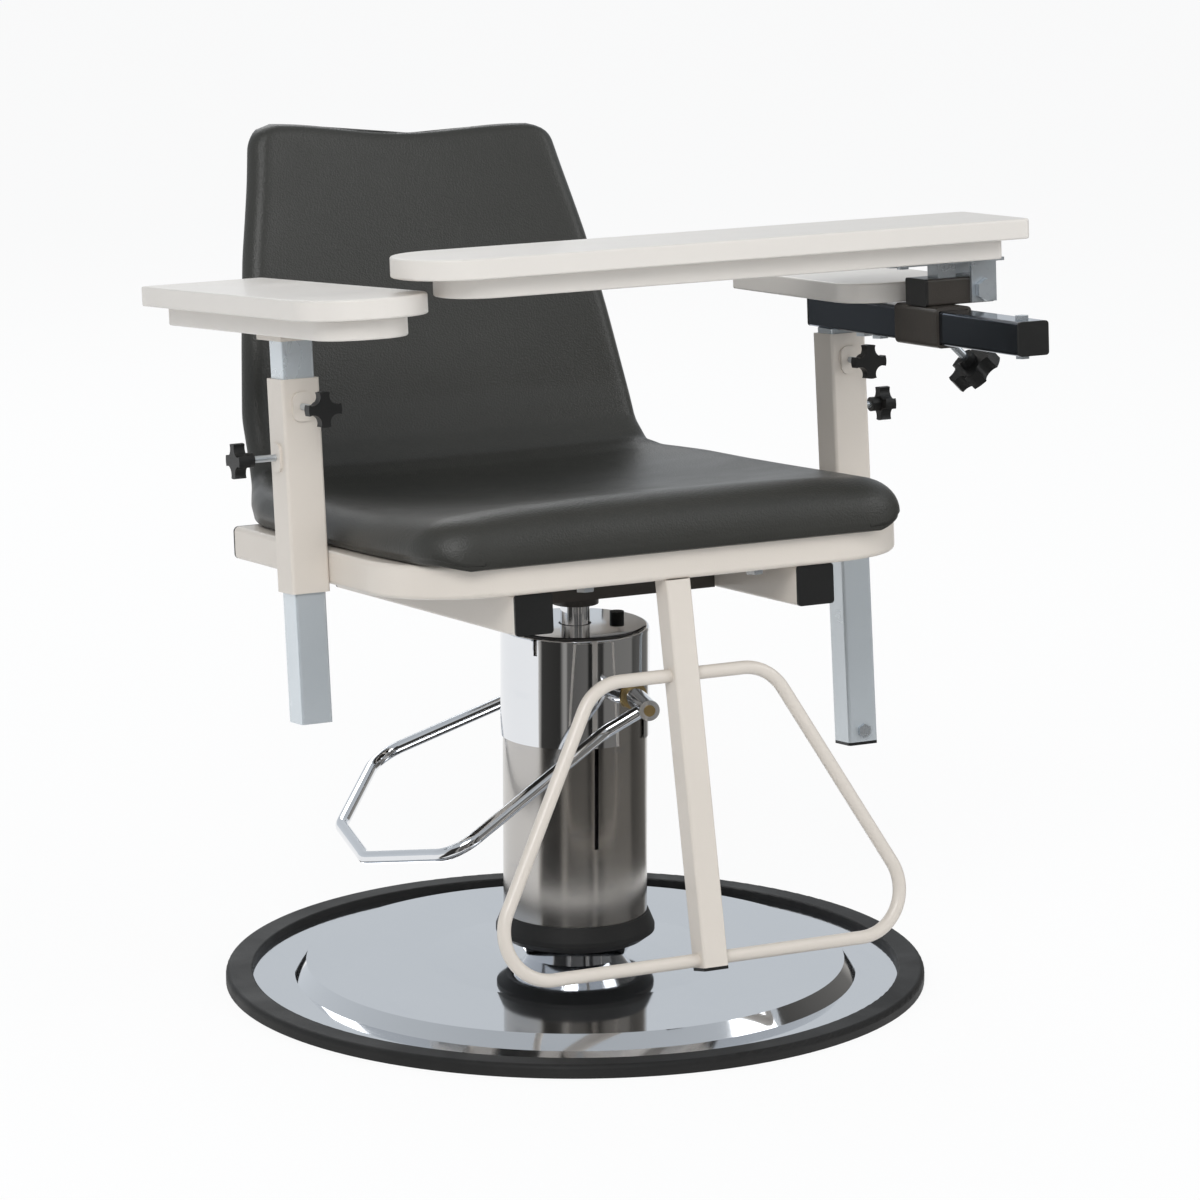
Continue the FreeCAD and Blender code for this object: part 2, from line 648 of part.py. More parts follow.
# Pump foot: chromed neck, rubber collar and tall housing
neck_points = [
    (s.neck_bore, s.crown_height), (s.neck_foot, s.crown_height), (s.neck_foot, deck),
    (s.neck_top, foot_top), (s.neck_bore, foot_top),
]
turned("pump_neck", neck_points, base_place)

belly = foot_top + s.collar_belly
collar_points = [
    (s.neck_top, foot_top - s.collar_drop), (s.collar_foot, foot_top - s.collar_drop),
    (s.collar_radius, belly), (s.collar_radius, belly + s.collar_band),
    (s.housing_radius + s.collar_lip, foot_top + s.collar_height),
    (s.housing_radius, foot_top + s.collar_height), (s.housing_radius, foot_top), (s.neck_top, foot_top),
]
turned("collar_ring", collar_points, base_place)

housing_inner = s.housing_radius - s.housing_wall
floor_top = foot_top + s.housing_floor
housing_points = [
    (0, foot_top), (s.housing_radius, foot_top), (s.housing_radius, housing_top),
    (housing_inner, housing_top), (housing_inner, floor_top), (0, floor_top),
]
housing = turned("pump_housing", housing_points, base_place)
bush_hole = new_sketch(housing, "XZ_Plane", name="bush_outline")
draw_circle(bush_hole, s.bush_radius, s.axle_offset, axle_height)
add_pocket(housing, bush_hole, s.housing_radius * 2 + s.cut_over, middle=True, name="bush_holes")
slot = new_sketch(housing, "XZ_Plane", name="slot_outline")
slot_half = s.slot_width / 2
slot_low = foot_top + s.slot_bottom
slot_high = slot_low + s.slot_length
draw_polygon(slot, [
    (s.slot_place - slot_half, slot_low), (s.slot_place + slot_half, slot_low),
    (s.slot_place + slot_half, slot_high), (s.slot_place - slot_half, slot_high),
])
add_pocket(housing, slot, s.housing_radius + s.cut_over, backwards=True, name="sight_slot")

# Upper cover: open below, with windows for the lever axle and a short slit under its top edge
shroud_inner = s.shroud_radius - s.shroud_wall
shroud_bottom = shroud_top - s.shroud_height
rod_hole = s.rod_radius + s.shroud_wall
shroud_points = [
    (shroud_inner, shroud_bottom), (s.shroud_radius, shroud_bottom), (s.shroud_radius, shroud_top),
    (rod_hole, shroud_top), (rod_hole, shroud_top - s.shroud_wall),
    (shroud_inner, shroud_top - s.shroud_wall),
]
shroud = turned("pump_cover", shroud_points, base_place)
window = new_sketch(shroud, "XZ_Plane", name="window_outline")
window_half = s.window_width / 2
window_points = [
    (s.axle_offset - window_half, shroud_bottom - s.collar_lip),
    (s.axle_offset + window_half, shroud_bottom - s.collar_lip),
    (s.axle_offset + window_half, axle_height), (s.axle_offset - window_half, axle_height),
]
draw_polygon(window, window_points)
add_pocket(shroud, window, s.shroud_radius * 2 + s.cut_over, middle=True, name="windows")
arch = new_sketch(shroud, "XZ_Plane", name="arch_outline")
draw_circle(arch, window_half, s.axle_offset, axle_height)
add_pocket(shroud, arch, s.shroud_radius * 2 + s.cut_over, middle=True, name="arches")
add_fillet(shroud, s.shroud_round, is_circle(s.shroud_radius, shroud_top))
slit = new_sketch(shroud, "XZ_Plane", name="slit_outline")
slit_half = s.slit_width / 2
slit_high = shroud_top - s.shroud_wall * 2
slit_low = slit_high - s.slit_length
draw_polygon(slit, [
    (-s.slit_place - slit_half, slit_low), (-s.slit_place + slit_half, slit_low),
    (-s.slit_place + slit_half, slit_high), (-s.slit_place - slit_half, slit_high),
])
add_pocket(shroud, slit, s.shroud_radius + s.cut_over, backwards=True, name="slit")

plug_at = V(float(s.plug_reach), 0, float(shroud_top))
plug = Part.makeCylinder(float(s.plug_radius), float(s.plug_height))
plain("filler_plug", plug, Place(plug_at, Turn()))

# Lift cylinder with its bearing, and the small pump barrel beside it
barrel_radius = s.bore_radius + s.barrel_wall
block_top = floor_top + s.block_foot
head_top = housing_top - s.head_drop
barrel_top = head_top - s.head_height
plunger_top = axle_height - s.crank_tip - s.tip_gap
head_bottom = plunger_top - s.plunger_head_height
plunger_x = s.axle_offset - s.crank_reach
plunger_bore = s.plunger_radius + s.plunger_gap
block = new_body("pump_block", base_place)
draw_foot = new_sketch(block, lift=floor_top, name="foot_outline")
draw_circle(draw_foot, s.block_foot_radius)
add_pad(block, draw_foot, s.block_foot, name="foot")
draw_barrel = new_sketch(block, lift=block_top, name="barrel_outline")
draw_circle(draw_barrel, barrel_radius)
draw_circle(draw_barrel, s.bore_radius)
add_pad(block, draw_barrel, barrel_top - block_top, name="barrel")
draw_small = new_sketch(block, lift=block_top, name="small_outline")
draw_circle(draw_small, s.plunger_barrel, plunger_x, -s.crank_place)
draw_circle(draw_small, plunger_bore, plunger_x, -s.crank_place)
add_pad(block, draw_small, head_bottom - s.stroke_room - block_top, name="small_barrel")

head_points = [
    (s.rod_radius + s.rod_gap, barrel_top), (barrel_radius, barrel_top),
    (barrel_radius, head_top), (s.rod_radius + s.rod_gap, head_top),
]
turned("cylinder_head", head_points, base_place)

piston_bottom = block_top + s.piston_start
piston_top = piston_bottom + s.piston_height
piston = doc.addObject("Part::Cylinder", "lift_piston")
piston.Label = "lift_piston"
bind(piston, "Radius", s.bore_radius - s.rod_gap)
bind(piston, "Height", s.piston_height)
piston.Placement = Place(V(0, 0, float(piston_bottom)), Turn())
pieces.append(piston)

# Lever axle in the housing's bushes, with the crank that works the plunger
axle_place = base_place * Place(V(float(s.axle_offset), 0, float(axle_height)), Turn())
axle_fit = s.axle_radius + s.axle_gap
bushes = []
for side in (-1, 1):
    near, far = side * s.bush_start, side * (s.bush_start + s.bush_length)
    outer = rod(s.bush_radius, (0, near, 0), (0, far, 0))
    bushes.append(outer.cut(rod(axle_fit, (0, near, 0), (0, far, 0))))
plain("lever_bushes", Part.makeCompound(bushes), axle_place)

axle = rod(s.axle_radius, (0, -s.axle_half, 0), (0, s.axle_half, 0))
crank_y = [-(s.crank_place + s.crank_width / 2), -(s.crank_place - s.crank_width / 2)]
arm = slab((-s.crank_reach, crank_y[0], -s.crank_tip), (0, crank_y[1], s.crank_tip))
tip = rod(s.crank_tip, (-s.crank_reach, crank_y[0], 0), (-s.crank_reach, crank_y[1], 0))
axle = axle.fuse([arm, tip])
screws = []
for side in (-1, 1):
    inner = side * (s.axle_half - s.end_screw_depth)
    outer = side * (s.axle_half + s.end_screw_proud)
    screws.append(rod(s.end_screw_radius, (0, inner, 0), (0, outer, 0)))
axle = axle.cut(screws).removeSplitter()
plain("lever_shaft", axle, axle_place)
plain("lever_screws", Part.makeCompound(screws), axle_place)

lever_turn = Turn(Y_AXIS, 180 - float(s.lever_angle))
lever_corners = [
    (0, s.lever_root, 0), (s.lever_neck, s.lever_root, 0), (s.lever_shoulder, s.lever_half, 0),
    (s.lever_nose, s.nose_half, 0), (s.lever_nose, -s.nose_half, 0), (s.lever_shoulder, -s.lever_half, 0),
    (s.lever_neck, -s.lever_root, 0), (0, -s.lever_root, 0),
]
loop = swept_rod(bent_path(lever_corners, s.lever_bend), s.lever_rod)
loop = loop.cut(rod(s.axle_radius, (0, -s.axle_half, 0), (0, s.axle_half, 0)))
plain("lever_loop", loop, axle_place * Place(V(0, 0, 0), lever_turn))

# Plunger
plunger_place = base_place * Place(V(float(plunger_x), -float(s.crank_place), 0), Turn())
plunger_points = [
    (0, plunger_top - s.plunger_length), (s.plunger_radius, plunger_top - s.plunger_length),
    (s.plunger_radius, head_bottom), (s.plunger_head, head_bottom), (s.plunger_head, plunger_top),
    (0, plunger_top),
]
turned("plunger", plunger_points, plunger_place)

# Swivel hub and rod: the hub's top follows the tilted mounting channel
over = float(s.cut_over)
wide = 2 * float(ring_radius)


def trimmed_above(shape, place, height):
    """Removes what lies above one height of a tilted frame."""
    block = Part.makeBox(wide, wide, wide, V(-wide / 2, -wide / 2, float(height)))
    block.Placement = place
    return shape.cut(block)


def into(place, shape):
    """The same shape seen from a placed frame."""
    return Part.makeCompound([shape.transformed(place.inverse().toMatrix())])


hub = Part.makeCylinder(float(s.hub_radius), float(s.hub_length) + over)
hub = hub.cut(Part.makeCylinder(float(s.rod_radius), float(s.hub_grip)))
hub_place = Place(V(0, 0, float(hub_bottom)), Turn())
hub = trimmed_above(hub, hub_place.inverse() * frame_place, -s.channel_wall)
plain("swivel_hub", hub, hub_place)

shaft = doc.addObject("Part::Cylinder", "piston_rod")
shaft.Label = "piston_rod"
bind(shaft, "Radius", s.rod_radius)
bind(shaft, "Height", hub_bottom + s.hub_grip - piston_top)
shaft.Placement = Place(V(0, 0, float(piston_top)), Turn())
pieces.append(shaft)

# Seat frame, all in the tilted frame's own axes
beam_inner = s.beam_place - s.beam_side / 2
channel = new_body("mount_channel", frame_place)
section = new_sketch(channel, "YZ_Plane")
draw_polygon(section, [
    (s.channel_half, 0), (s.channel_half, -s.beam_side), (s.channel_half - s.channel_wall, -s.beam_side),
    (s.channel_half - s.channel_wall, -s.channel_wall), (s.channel_wall - s.channel_half, -s.channel_wall),
    (s.channel_wall - s.channel_half, -s.beam_side), (-s.channel_half, -s.beam_side), (-s.channel_half, 0),
])
add_pad(channel, section, beam_inner * 2, middle=True)

beam_length = s.beam_front + s.frame_rear - s.cap_lip
for name, side in (("left", -1), ("right", 1)):
    spot = V(side * float(s.beam_place), float(s.frame_rear), -float(s.beam_side) / 2)
    place = frame_place * Place(spot, Turn(X_AXIS, 90))
    tube(f"seat_beam_{name}", s.beam_side, s.tube_wall, s.beam_corner, beam_length, place)


def rounded_wire(half_wide, half_tall, corner, place):
    """Rounded rectangle in the XY plane of a placed frame."""
    a, b, r = float(half_wide), float(half_tall), float(corner)
    k = r * (1 - math.sqrt(0.5))
    edges = []
    spots = [(a, b, -1, -1), (-a, b, 1, -1), (-a, -b, 1, 1), (a, -b, -1, 1)]
    ends = []
    for n, (x, y, u, v) in enumerate(spots):
        one, two = V(x, y + v * r, 0), V(x + u * r, y, 0)
        if n % 2:
            one, two = two, one
        ends.append((one, V(x + u * k, y + v * k, 0), two))
    for n in range(4):
        edges.append(Part.Arc(*ends[n]).toShape())
        edges.append(Part.makeLine(ends[n][2], ends[(n + 1) % 4][0]))
    wire = Part.Wire(edges)
    wire.Placement = place
    return wire


def square_cap(half_wide, half_tall, wall, corner, place, depth=None):
    """Plastic end cap: a lip outside the tube and a plug inside, along local Z."""
    lip = Part.Face(rounded_wire(half_wide, half_tall, corner, Place())).extrude(V(0, 0, -float(s.cap_lip)))
    if depth is None:
        inner = wall + s.cap_gap
        outline = rounded_wire(half_wide - inner, half_tall - inner, corner / 2, Place())
        lip = lip.fuse(Part.Face(outline).extrude(V(0, 0, float(s.cap_depth)))).removeSplitter()
    lip.Placement = place
    return lip


caps = []
half_beam = s.beam_side / 2
for side in (-1, 1):
    x = side * float(s.beam_place)
    front = Place(V(x, float(s.cap_lip - s.beam_front), -float(half_beam)), Turn(X_AXIS, -90))
    caps.append(square_cap(half_beam, half_beam, s.tube_wall, s.beam_corner, frame_place * front))
    back = Place(V(x, float(s.frame_rear), -float(half_beam)), Turn(X_AXIS, 90))
    caps.append(square_cap(half_beam, half_beam, s.tube_wall, s.beam_corner, frame_place * back))
half_side = s.frame_side / 2
for side in (-1, 1):
    x = side * float(frame_half - half_side)
    back = Place(V(x, float(s.frame_rear), float(half_side)), Turn(X_AXIS, 90))
    caps.append(square_cap(half_side, half_side, s.tube_wall, s.frame_corner, frame_place * back))
half_foot = s.foot_side / 2
foot_end = Place(V(0, 0, float(s.cap_lip - s.foot_length)), Turn())
caps.append(square_cap(half_foot, half_foot, s.foot_wall, s.foot_corner, foot_place * foot_end, 0))
plain("tube_caps", into(frame_place, Part.makeCompound(caps)), frame_place)

# The bent frame tube is open at its rear ends
tube_x = frame_half - half_side
tube_y = s.frame_front - half_side
frame_corners = [
    (-tube_x, s.frame_rear, half_side), (-tube_x, -tube_y, half_side),
    (tube_x, -tube_y, half_side), (tube_x, s.frame_rear, half_side),
]
frame_path = bent_path(frame_corners, s.frame_bend - half_side)
end_place = Place(V(-float(tube_x), float(s.frame_rear), float(half_side)), Turn(X_AXIS, 90))
outer = swept(frame_path, rounded_wire(half_side, half_side, s.frame_corner, end_place))
hollow = half_side - s.tube_wall
inner = swept(frame_path, rounded_wire(hollow, hollow, s.frame_corner / 2, end_place))
bolt_hole = s.bolt_radius + s.hole_gap
front_bolts = [rod(bolt_hole, (x, -tube_y, -s.cut_over), (x, -tube_y, s.frame_side + s.cut_over))
               for x in (-s.bolt_place, s.bolt_place)]
plain("seat_frame_tube", outer.cut([inner] + front_bolts), frame_place)

cross_half = frame_half - s.frame_side
cross = Place(V(-float(cross_half), float(s.cross_place), float(half_side)), Turn(Y_AXIS, 90))
cross = frame_place * cross
cross_tube = tube("rear_cross_tube", s.frame_side, s.tube_wall, s.beam_corner, cross_half * 2, cross)
cross_holes = new_sketch(cross_tube, "YZ_Plane", name="bolt_outline")
for x in (cross_half - s.bolt_place, cross_half + s.bolt_place):
    draw_circle(cross_holes, s.bolt_radius + s.hole_gap, 0, x)
add_pocket(cross_tube, cross_holes, s.frame_side * 2, middle=True, name="bolt_holes")

bolts = []
for x in (-s.bolt_place, s.bolt_place):
    for y in (-tube_y, s.cross_place):
        shank = rod(s.bolt_radius, (x, y, 0), (x, y, s.frame_side + s.board_thick))
        head = prism(s.bolt_head, (x, y, 0), (x, y, -s.bolt_head_height))
        bolts.append(shank.fuse(head).removeSplitter())
plain("seat_bolts", Part.makeCompound(bolts), frame_place)

board = new_body("seat_base_board", frame_place)
board_half = frame_half - s.board_inset
board_outline = new_sketch(board, lift=s.frame_side)
draw_rounded(board_outline, board_half, board_half, s.board_front, s.board_rear, [s.frame_bend / 2] * 4)
for x in (-s.bolt_place, s.bolt_place):
    for y in (-tube_y, s.cross_place):
        draw_circle(board_outline, s.bolt_radius, x, y)
add_pad(board, board_outline, s.board_thick)

# One-piece padded shell, lofted through stations along its underside and up the rear of its back.
# Each row: forward and upward place, lean in degrees, half width as a share of the frame's, foot, rim
# and middle height, the draw-in of the sides at the foot, and the rounding of the rim.
SEAT_SHARES = [
    (2.265, 0.000, 0, 0.800, 0.025, 0.205, 0.215, 0.020, 0.340),
    (2.215, 0.000, 0, 0.834, 0.004, 0.285, 0.315, 0.020, 0.340),
    (2.125, 0.000, 0, 0.876, 0.000, 0.355, 0.395, 0.020, 0.340),
    (1.975, 0.000, 0, 0.914, 0.000, 0.410, 0.462, 0.020, 0.340),
    (1.800, 0.000, 0, 0.932, 0.000, 0.420, 0.475, 0.020, 0.340),
    (1.600, 0.000, 0, 0.941, 0.000, 0.412, 0.450, 0.020, 0.340),
    (1.300, 0.000, 0, 0.952, 0.000, 0.400, 0.405, 0.020, 0.340),
    (0.800, 0.000, 0, 0.959, 0.000, 0.385, 0.345, 0.020, 0.340),
    (0.000, 0.000, 0, 0.963, 0.000, 0.370, 0.285, 0.020, 0.320),
    (-1.000, 0.000, 0, 0.963, 0.000, 0.360, 0.250, 0.020, 0.280),
    (-1.700, 0.000, 0, 0.952, 0.000, 0.360, 0.250, 0.020, 0.250),
    (-2.100, 0.001, 0, 0.911, 0.000, 0.365, 0.265, 0.020, 0.220),
    (-2.430, 0.008, 6, 0.863, 0.000, 0.365, 0.295, 0.040, 0.200),
    (-2.820, 0.113, 30, 0.811, 0.010, 0.365, 0.335, 0.080, 0.180),
    (-3.130, 0.393, 56, 0.791, 0.060, 0.415, 0.390, 0.140, 0.170),
    (-3.390, 0.813, 74, 0.786, 0.130, 0.500, 0.450, 0.160, 0.170),
    (-3.614, 1.553, 76.3, 0.748, 0.170, 0.550, 0.460, 0.120, 0.170),
    (-3.811, 2.363, 76.3, 0.700, 0.170, 0.550, 0.460, 0.100, 0.170),
    (-3.984, 3.073, 76.3, 0.644, 0.170, 0.535, 0.450, 0.100, 0.170),
    (-4.060, 3.383, 76.3, 0.607, 0.190, 0.500, 0.430, 0.100, 0.160),
    (-4.100, 3.543, 76.3, 0.537, 0.250, 0.430, 0.385, 0.100, 0.090),
]
UNIT_SHARE = 0.15625
BROAD_SHARE = 1.3
unit = float(s.padding_length) * UNIT_SHARE
shell_foot = s.frame_side + s.shell_lift


def seat_section(row):
    """Closed outline of the padding at one station: flat foot, rounded corners, dished or crowned top."""
    forward, up, lean, wide = row[:4]
    half = wide * float(frame_half)
    foot, rim, middle, draw_in, edge = (share * unit for share in row[4:])
    low = (rim - foot) * 0.2
    high = min(edge, (rim - foot) * 0.7)
    broad = high * BROAD_SHARE
    k = 1 - math.sqrt(0.5)
    x0 = half - draw_in
    right = [V(x0 - low, foot, 0), V(x0 - low * k, foot + low * k, 0), V(x0, foot + low, 0),
             V(half, rim - high, 0), V(half - broad * k, rim - high * k, 0), V(half - broad, rim, 0)]
    left = [V(-p.x, p.y, 0) for p in right]
    edges = [
        Part.makeLine(left[0], right[0]), Part.Arc(right[0], right[1], right[2]).toShape(),
        Part.makeLine(right[2], right[3]), Part.Arc(right[3], right[4], right[5]).toShape(),
        Part.Arc(right[5], V(0, middle, 0), left[5]).toShape(), Part.Arc(left[5], left[4], left[3]).toShape(),
        Part.makeLine(left[3], left[2]), Part.Arc(left[2], left[1], left[0]).toShape(),
    ]
    wire = Part.Wire(edges)
    wire.Placement = Place(V(0, -forward * unit, float(shell_foot) + up * unit), Turn(X_AXIS, 90 + lean))
    return wire


shell = Part.makeLoft([seat_section(row) for row in SEAT_SHARES], True)
board_middle = (s.board_rear - s.board_front) / 2
board_deep = (s.board_rear + s.board_front) / 2
pocket_place = Place(V(0, float(board_middle), float(s.frame_side)), Turn())
pocket_wire = rounded_wire(board_half + s.soft_gap, board_deep + s.soft_gap, s.frame_bend / 2, pocket_place)
shell = shell.cut(Part.Face(pocket_wire).extrude(V(0, 0, float(s.board_thick + s.soft_gap))))
plain("seat_shell", shell, frame_place)

# Footrest: a leaning square post trimmed to the frame, and a closed hoop welded through it
hoop_bottom = s.foot_length - s.hoop_end
hoop_corners = [
    (-s.hoop_top_half, 0, -s.hoop_top), (s.hoop_top_half, 0, -s.hoop_top),
    (s.hoop_bottom_half, 0, -hoop_bottom), (-s.hoop_bottom_half, 0, -hoop_bottom),
]
hoop = swept_rod(bent_path(hoop_corners, s.hoop_bend, closed=True), s.hoop_rod)
post_low = Place(V(0, 0, float(s.cap_lip - s.foot_length)), Turn())
post_run = V(0, 0, float(s.foot_length + s.foot_over - s.cap_lip))
solid_post = Part.Face(rounded_wire(half_foot, half_foot, s.foot_corner, post_low)).extrude(post_run)
foot_hollow = half_foot - s.foot_wall
hollow_post = Part.Face(rounded_wire(foot_hollow, foot_hollow, s.foot_corner / 2, post_low)).extrude(post_run)
foot_post = solid_post.cut([hollow_post, hoop])
foot_post = trimmed_above(foot_post, foot_place.inverse() * frame_place, 0)
plain("footrest_post", foot_post, foot_place)
plain("footrest_hoop", hoop, foot_place)

# Arm sleeves welded to the frame's sides, each with a front and an outer clamp knob
sleeve_wall = (s.beam_side - s.post_side) / 2 - s.slide_gap
face = s.beam_side / 2
stud_hole = s.stud_radius + s.stud_fit


def knob_place(place, side, front):
    """Frame of a knob on its sleeve's front or outer face, Z outwards."""
    if front:
        return place * Place(V(0, -float(face), float(s.front_knob_height)), Turn(X_AXIS, 90))
    return place * Place(V(side * float(face), 0, float(s.side_knob_height)), Turn(Y_AXIS, 90 * side))


plates = []
for name, side, place in (("left", -1, left_place), ("right", 1, right_place)):
    foot = place * Place(V(0, 0, -float(s.sleeve_drop)), Turn())
    sleeve = tube(f"arm_sleeve_{name}", s.beam_side, sleeve_wall, s.beam_corner, s.sleeve_length, foot)
    side_hole(sleeve, stud_hole, s.front_knob_height + s.sleeve_drop, "XZ_Plane", s.beam_side, backwards=True)
    across = new_sketch(sleeve, "YZ_Plane", name="side_outline")
    draw_circle(across, stud_hole, 0, s.side_knob_height + s.sleeve_drop)
    add_pocket(sleeve, across, s.beam_side, backwards=side > 0, name="side_hole")
    for front in (True, False):
        outline = rounded_wire(s.insert_width / 2, s.insert_height / 2, s.insert_round, Place())
        if not front:
            outline = rounded_wire(s.insert_height / 2, s.insert_width / 2, s.insert_round, Place())
        plate = Part.Face(outline).extrude(V(0, 0, float(s.insert_thick)))
        plate = plate.cut(Part.makeCylinder(float(stud_hole), float(s.insert_thick)))
        plate.Placement = knob_place(place, side, front)
        plates.append(plate)
plain("knob_plates", Part.makeCompound(plates))


def lobed(lobes, half, scoop, scoop_place, thick, hub, hub_length, stud):
    """Clamp knob along local Z: round hub, then a disc scooped between its lobes, with a blind hole."""
    disc = Part.makeCylinder(float(half), float(thick), V(0, 0, float(hub_length)))
    for n in range(lobes):
        angle = 2 * math.pi * (n + 0.5) / lobes + math.pi / 2
        far = float(scoop_place)
        spot = V(far * math.cos(angle), far * math.sin(angle), float(hub_length))
        disc = disc.cut(Part.makeCylinder(float(scoop), float(thick), spot))
    hub = Part.makeCylinder(float(hub), float(hub_length))
    hole = Part.makeCylinder(float(stud), float(hub_length + thick / 2))
    return hub.fuse(disc).removeSplitter().cut(hole)


reaches = {
    ("left", True): s.left_front_reach, ("left", False): s.left_side_reach,
    ("right", True): s.right_front_reach, ("right", False): s.right_side_reach,
}
for name, side, place in (("left", -1, left_place), ("right", 1, right_place)):
    for front in (True, False):
        where = "front" if front else "side"
        out = s.insert_thick + reaches[name, front]
        spot = knob_place(place, side, front)
        knob = lobed(4, s.knob_half, s.knob_scoop, s.knob_scoop_place, s.knob_thick, s.knob_hub,
                     s.knob_hub_length, s.stud_radius)
        plain(f"star_knob_{name}_{where}", knob, spot * Place(V(0, 0, float(out)), Turn()))
        start = s.stud_gap - (s.beam_side - s.post_side) / 2
        stud = doc.addObject("Part::Cylinder", f"knob_stud_{name}_{where}")
        stud.Label = f"knob_stud_{name}_{where}"
        bind(stud, "Radius", s.stud_radius)
        bind(stud, "Height", out + s.knob_hub_length + s.knob_thick / 2 - start)
        stud.Placement = spot * Place(V(0, 0, float(start)), Turn())
        pieces.append(stud)


def flat_at(height):
    """Picks the edges that lie flat at one height."""
    def test(edge):
        box = edge.BoundBox
        near = 1e-4 * unit
        return abs(box.ZMin - float(height)) < near and abs(box.ZMax - float(height)) < near
    return test


def arm_board(label, place, left, right, front, back, rounds, holes=(), radius=0, depth=0):
    """Wooden arm board with its own corner radii, softly rounded edges and blind holes beneath."""
    body = new_body(label, place)
    outline = new_sketch(body)
    draw_rounded(outline, left, right, front, back, rounds)
    add_pad(body, outline, s.panel_thick)
    if holes:
        drill = new_sketch(body, name="hole_outline")
        for x, y in holes:
            draw_circle(drill, radius, x, y)
        add_pocket(body, drill, depth, backwards=True, name="holes")
    add_fillet(body, s.panel_edge, flat_at(s.panel_thick), "top_rounding")
    add_fillet(body, s.panel_edge, flat_at(0), "under_rounding")
    return body


# Left arm: post, bracket and two boards
left_low = left_place * Place(V(0, 0, -float(s.left_post_drop)), Turn())
tube("arm_post_left", s.post_side, s.post_wall, s.beam_corner, s.left_post_drop + s.left_post_rise, left_low)
bracket = slab((-s.bracket_outer, -s.bracket_half, 0), (s.bracket_inner, s.bracket_half, s.bracket_thick))
left_top = left_place * Place(V(0, 0, float(s.left_post_rise)), Turn())
under = s.left_post_rise + s.bracket_thick
screws = []
spots = []
for x in (s.bracket_inner / 2, s.bracket_inner - s.screw_head * 2):
    for y in (-s.bracket_half * 0.7, s.bracket_half * 0.7):
        spots.append((x, y))
        shank = rod(s.screw_radius, (x, y, 0), (x, y, s.bracket_thick + s.screw_bite))
        bracket = bracket.cut(rod(s.screw_radius, (x, y, 0), (x, y, s.bracket_thick)))
        head = rod(s.screw_head, (x, y, -s.screw_head_height), (x, y, 0))
        screws.append(shank.fuse(head).removeSplitter())
plain("arm_bracket_left", bracket, left_top)
plain("arm_screws_left", Part.makeCompound(screws), left_top)
half_panel = s.panel_width / 2
inset = s.panel_inset
for level, name in ((0, "lower"), (1, "upper")):
    cut = inset * (1 - level)
    place = left_place * Place(V(0, 0, float(under + s.panel_thick * level)), Turn())
    arm_board(f"arm_board_{name}_left", place, half_panel - cut, half_panel - cut, s.left_panel_front - cut,
              s.left_panel_rear - cut, [s.panel_front_round - cut] * 2 + [s.panel_rear_round] * 2,
              [] if level else spots, s.screw_radius, s.screw_bite)

# Right arm: post, tilted bar, caps, bolts and one board
post_place_low = right_place * Place(V(0, 0, float(s.cap_lip - s.right_post_drop)), Turn())
half_post = s.post_side / 2
post_hollow = half_post - s.post_wall
run = V(0, 0, float(s.right_post_drop + s.left_post_rise + s.cut_over))
outline = rounded_wire(half_post, half_post, s.beam_corner, Place())
hollow_outline = rounded_wire(post_hollow, post_hollow, s.beam_corner / 2, Place())
right_post = Part.Face(outline).extrude(run).cut(Part.Face(hollow_outline).extrude(run))
stop_height = s.post_bolt_rise
stop = rod(s.stop_radius, (0, -half_post, stop_height), (0, -post_hollow, stop_height))
right_post = right_post.cut(stop)
right_post = trimmed_above(right_post, post_place_low.inverse() * bar_place, 0)
plain("arm_post_right", right_post, post_place_low)

bar_length = s.bar_front + s.bar_rear - s.cap_lip * 2
bar_end = Place(V(0, float(s.bar_rear - s.cap_lip), float(half_post)), Turn(X_AXIS, 90))
bar = tube("arm_bar", s.post_side, s.post_wall, s.beam_corner, bar_length, bar_place * bar_end)
from_end = s.bar_rear - s.cap_lip
bar_holes = ((s.bar_bolt_near, s.bolt_radius), (s.bar_bolt_far, s.bolt_radius), (s.stop_place, s.stop_radius))
for spot, radius in bar_holes:
    drill = new_sketch(bar, "XZ_Plane", name="bolt_outline")
    draw_circle(drill, radius + s.hole_gap, 0, from_end + spot)
    add_pocket(bar, drill, s.post_side * 2, middle=True, name="bolt_hole")

caps = []
for y, angle in ((s.bar_rear - s.cap_lip, 90), (s.cap_lip - s.bar_front, -90)):
    spot = Place(V(0, float(y), float(half_post)), Turn(X_AXIS, angle))
    caps.append(square_cap(half_post, half_post, s.post_wall, s.beam_corner, bar_place * spot,
                           0 if angle < 0 else None))
caps.append(square_cap(half_post, half_post, s.post_wall, s.beam_corner, post_place_low, 0))
plain("right_arm_caps", into(bar_place, Part.makeCompound(caps)), bar_place)

bolts = []
lift = s.post_side + s.panel_lift
for spot in (s.bar_bolt_near, s.bar_bolt_far):
    shank = rod(s.bolt_radius, (0, -spot, 0), (0, -spot, lift + s.bolt_bite))
    head = prism(s.bolt_head, (0, -spot, 0), (0, -spot, -s.bolt_head_height))
    washer = rod(s.bolt_head, (0, -spot, s.post_side), (0, -spot, lift))
    bolts.append(shank.fuse([head, washer]).removeSplitter())
shank = rod(s.stop_radius, (0, -s.stop_place, 0), (0, -s.stop_place, s.post_side))
low = prism(s.stop_head, (0, -s.stop_place, 0), (0, -s.stop_place, -s.stop_head_height))
stop_top = s.post_side + s.stop_head_height
high = prism(s.stop_head, (0, -s.stop_place, s.post_side), (0, -s.stop_place, stop_top))
bolts.append(shank.fuse([low, high]).removeSplitter())
stop_out = -(half_post + s.stop_head_height)
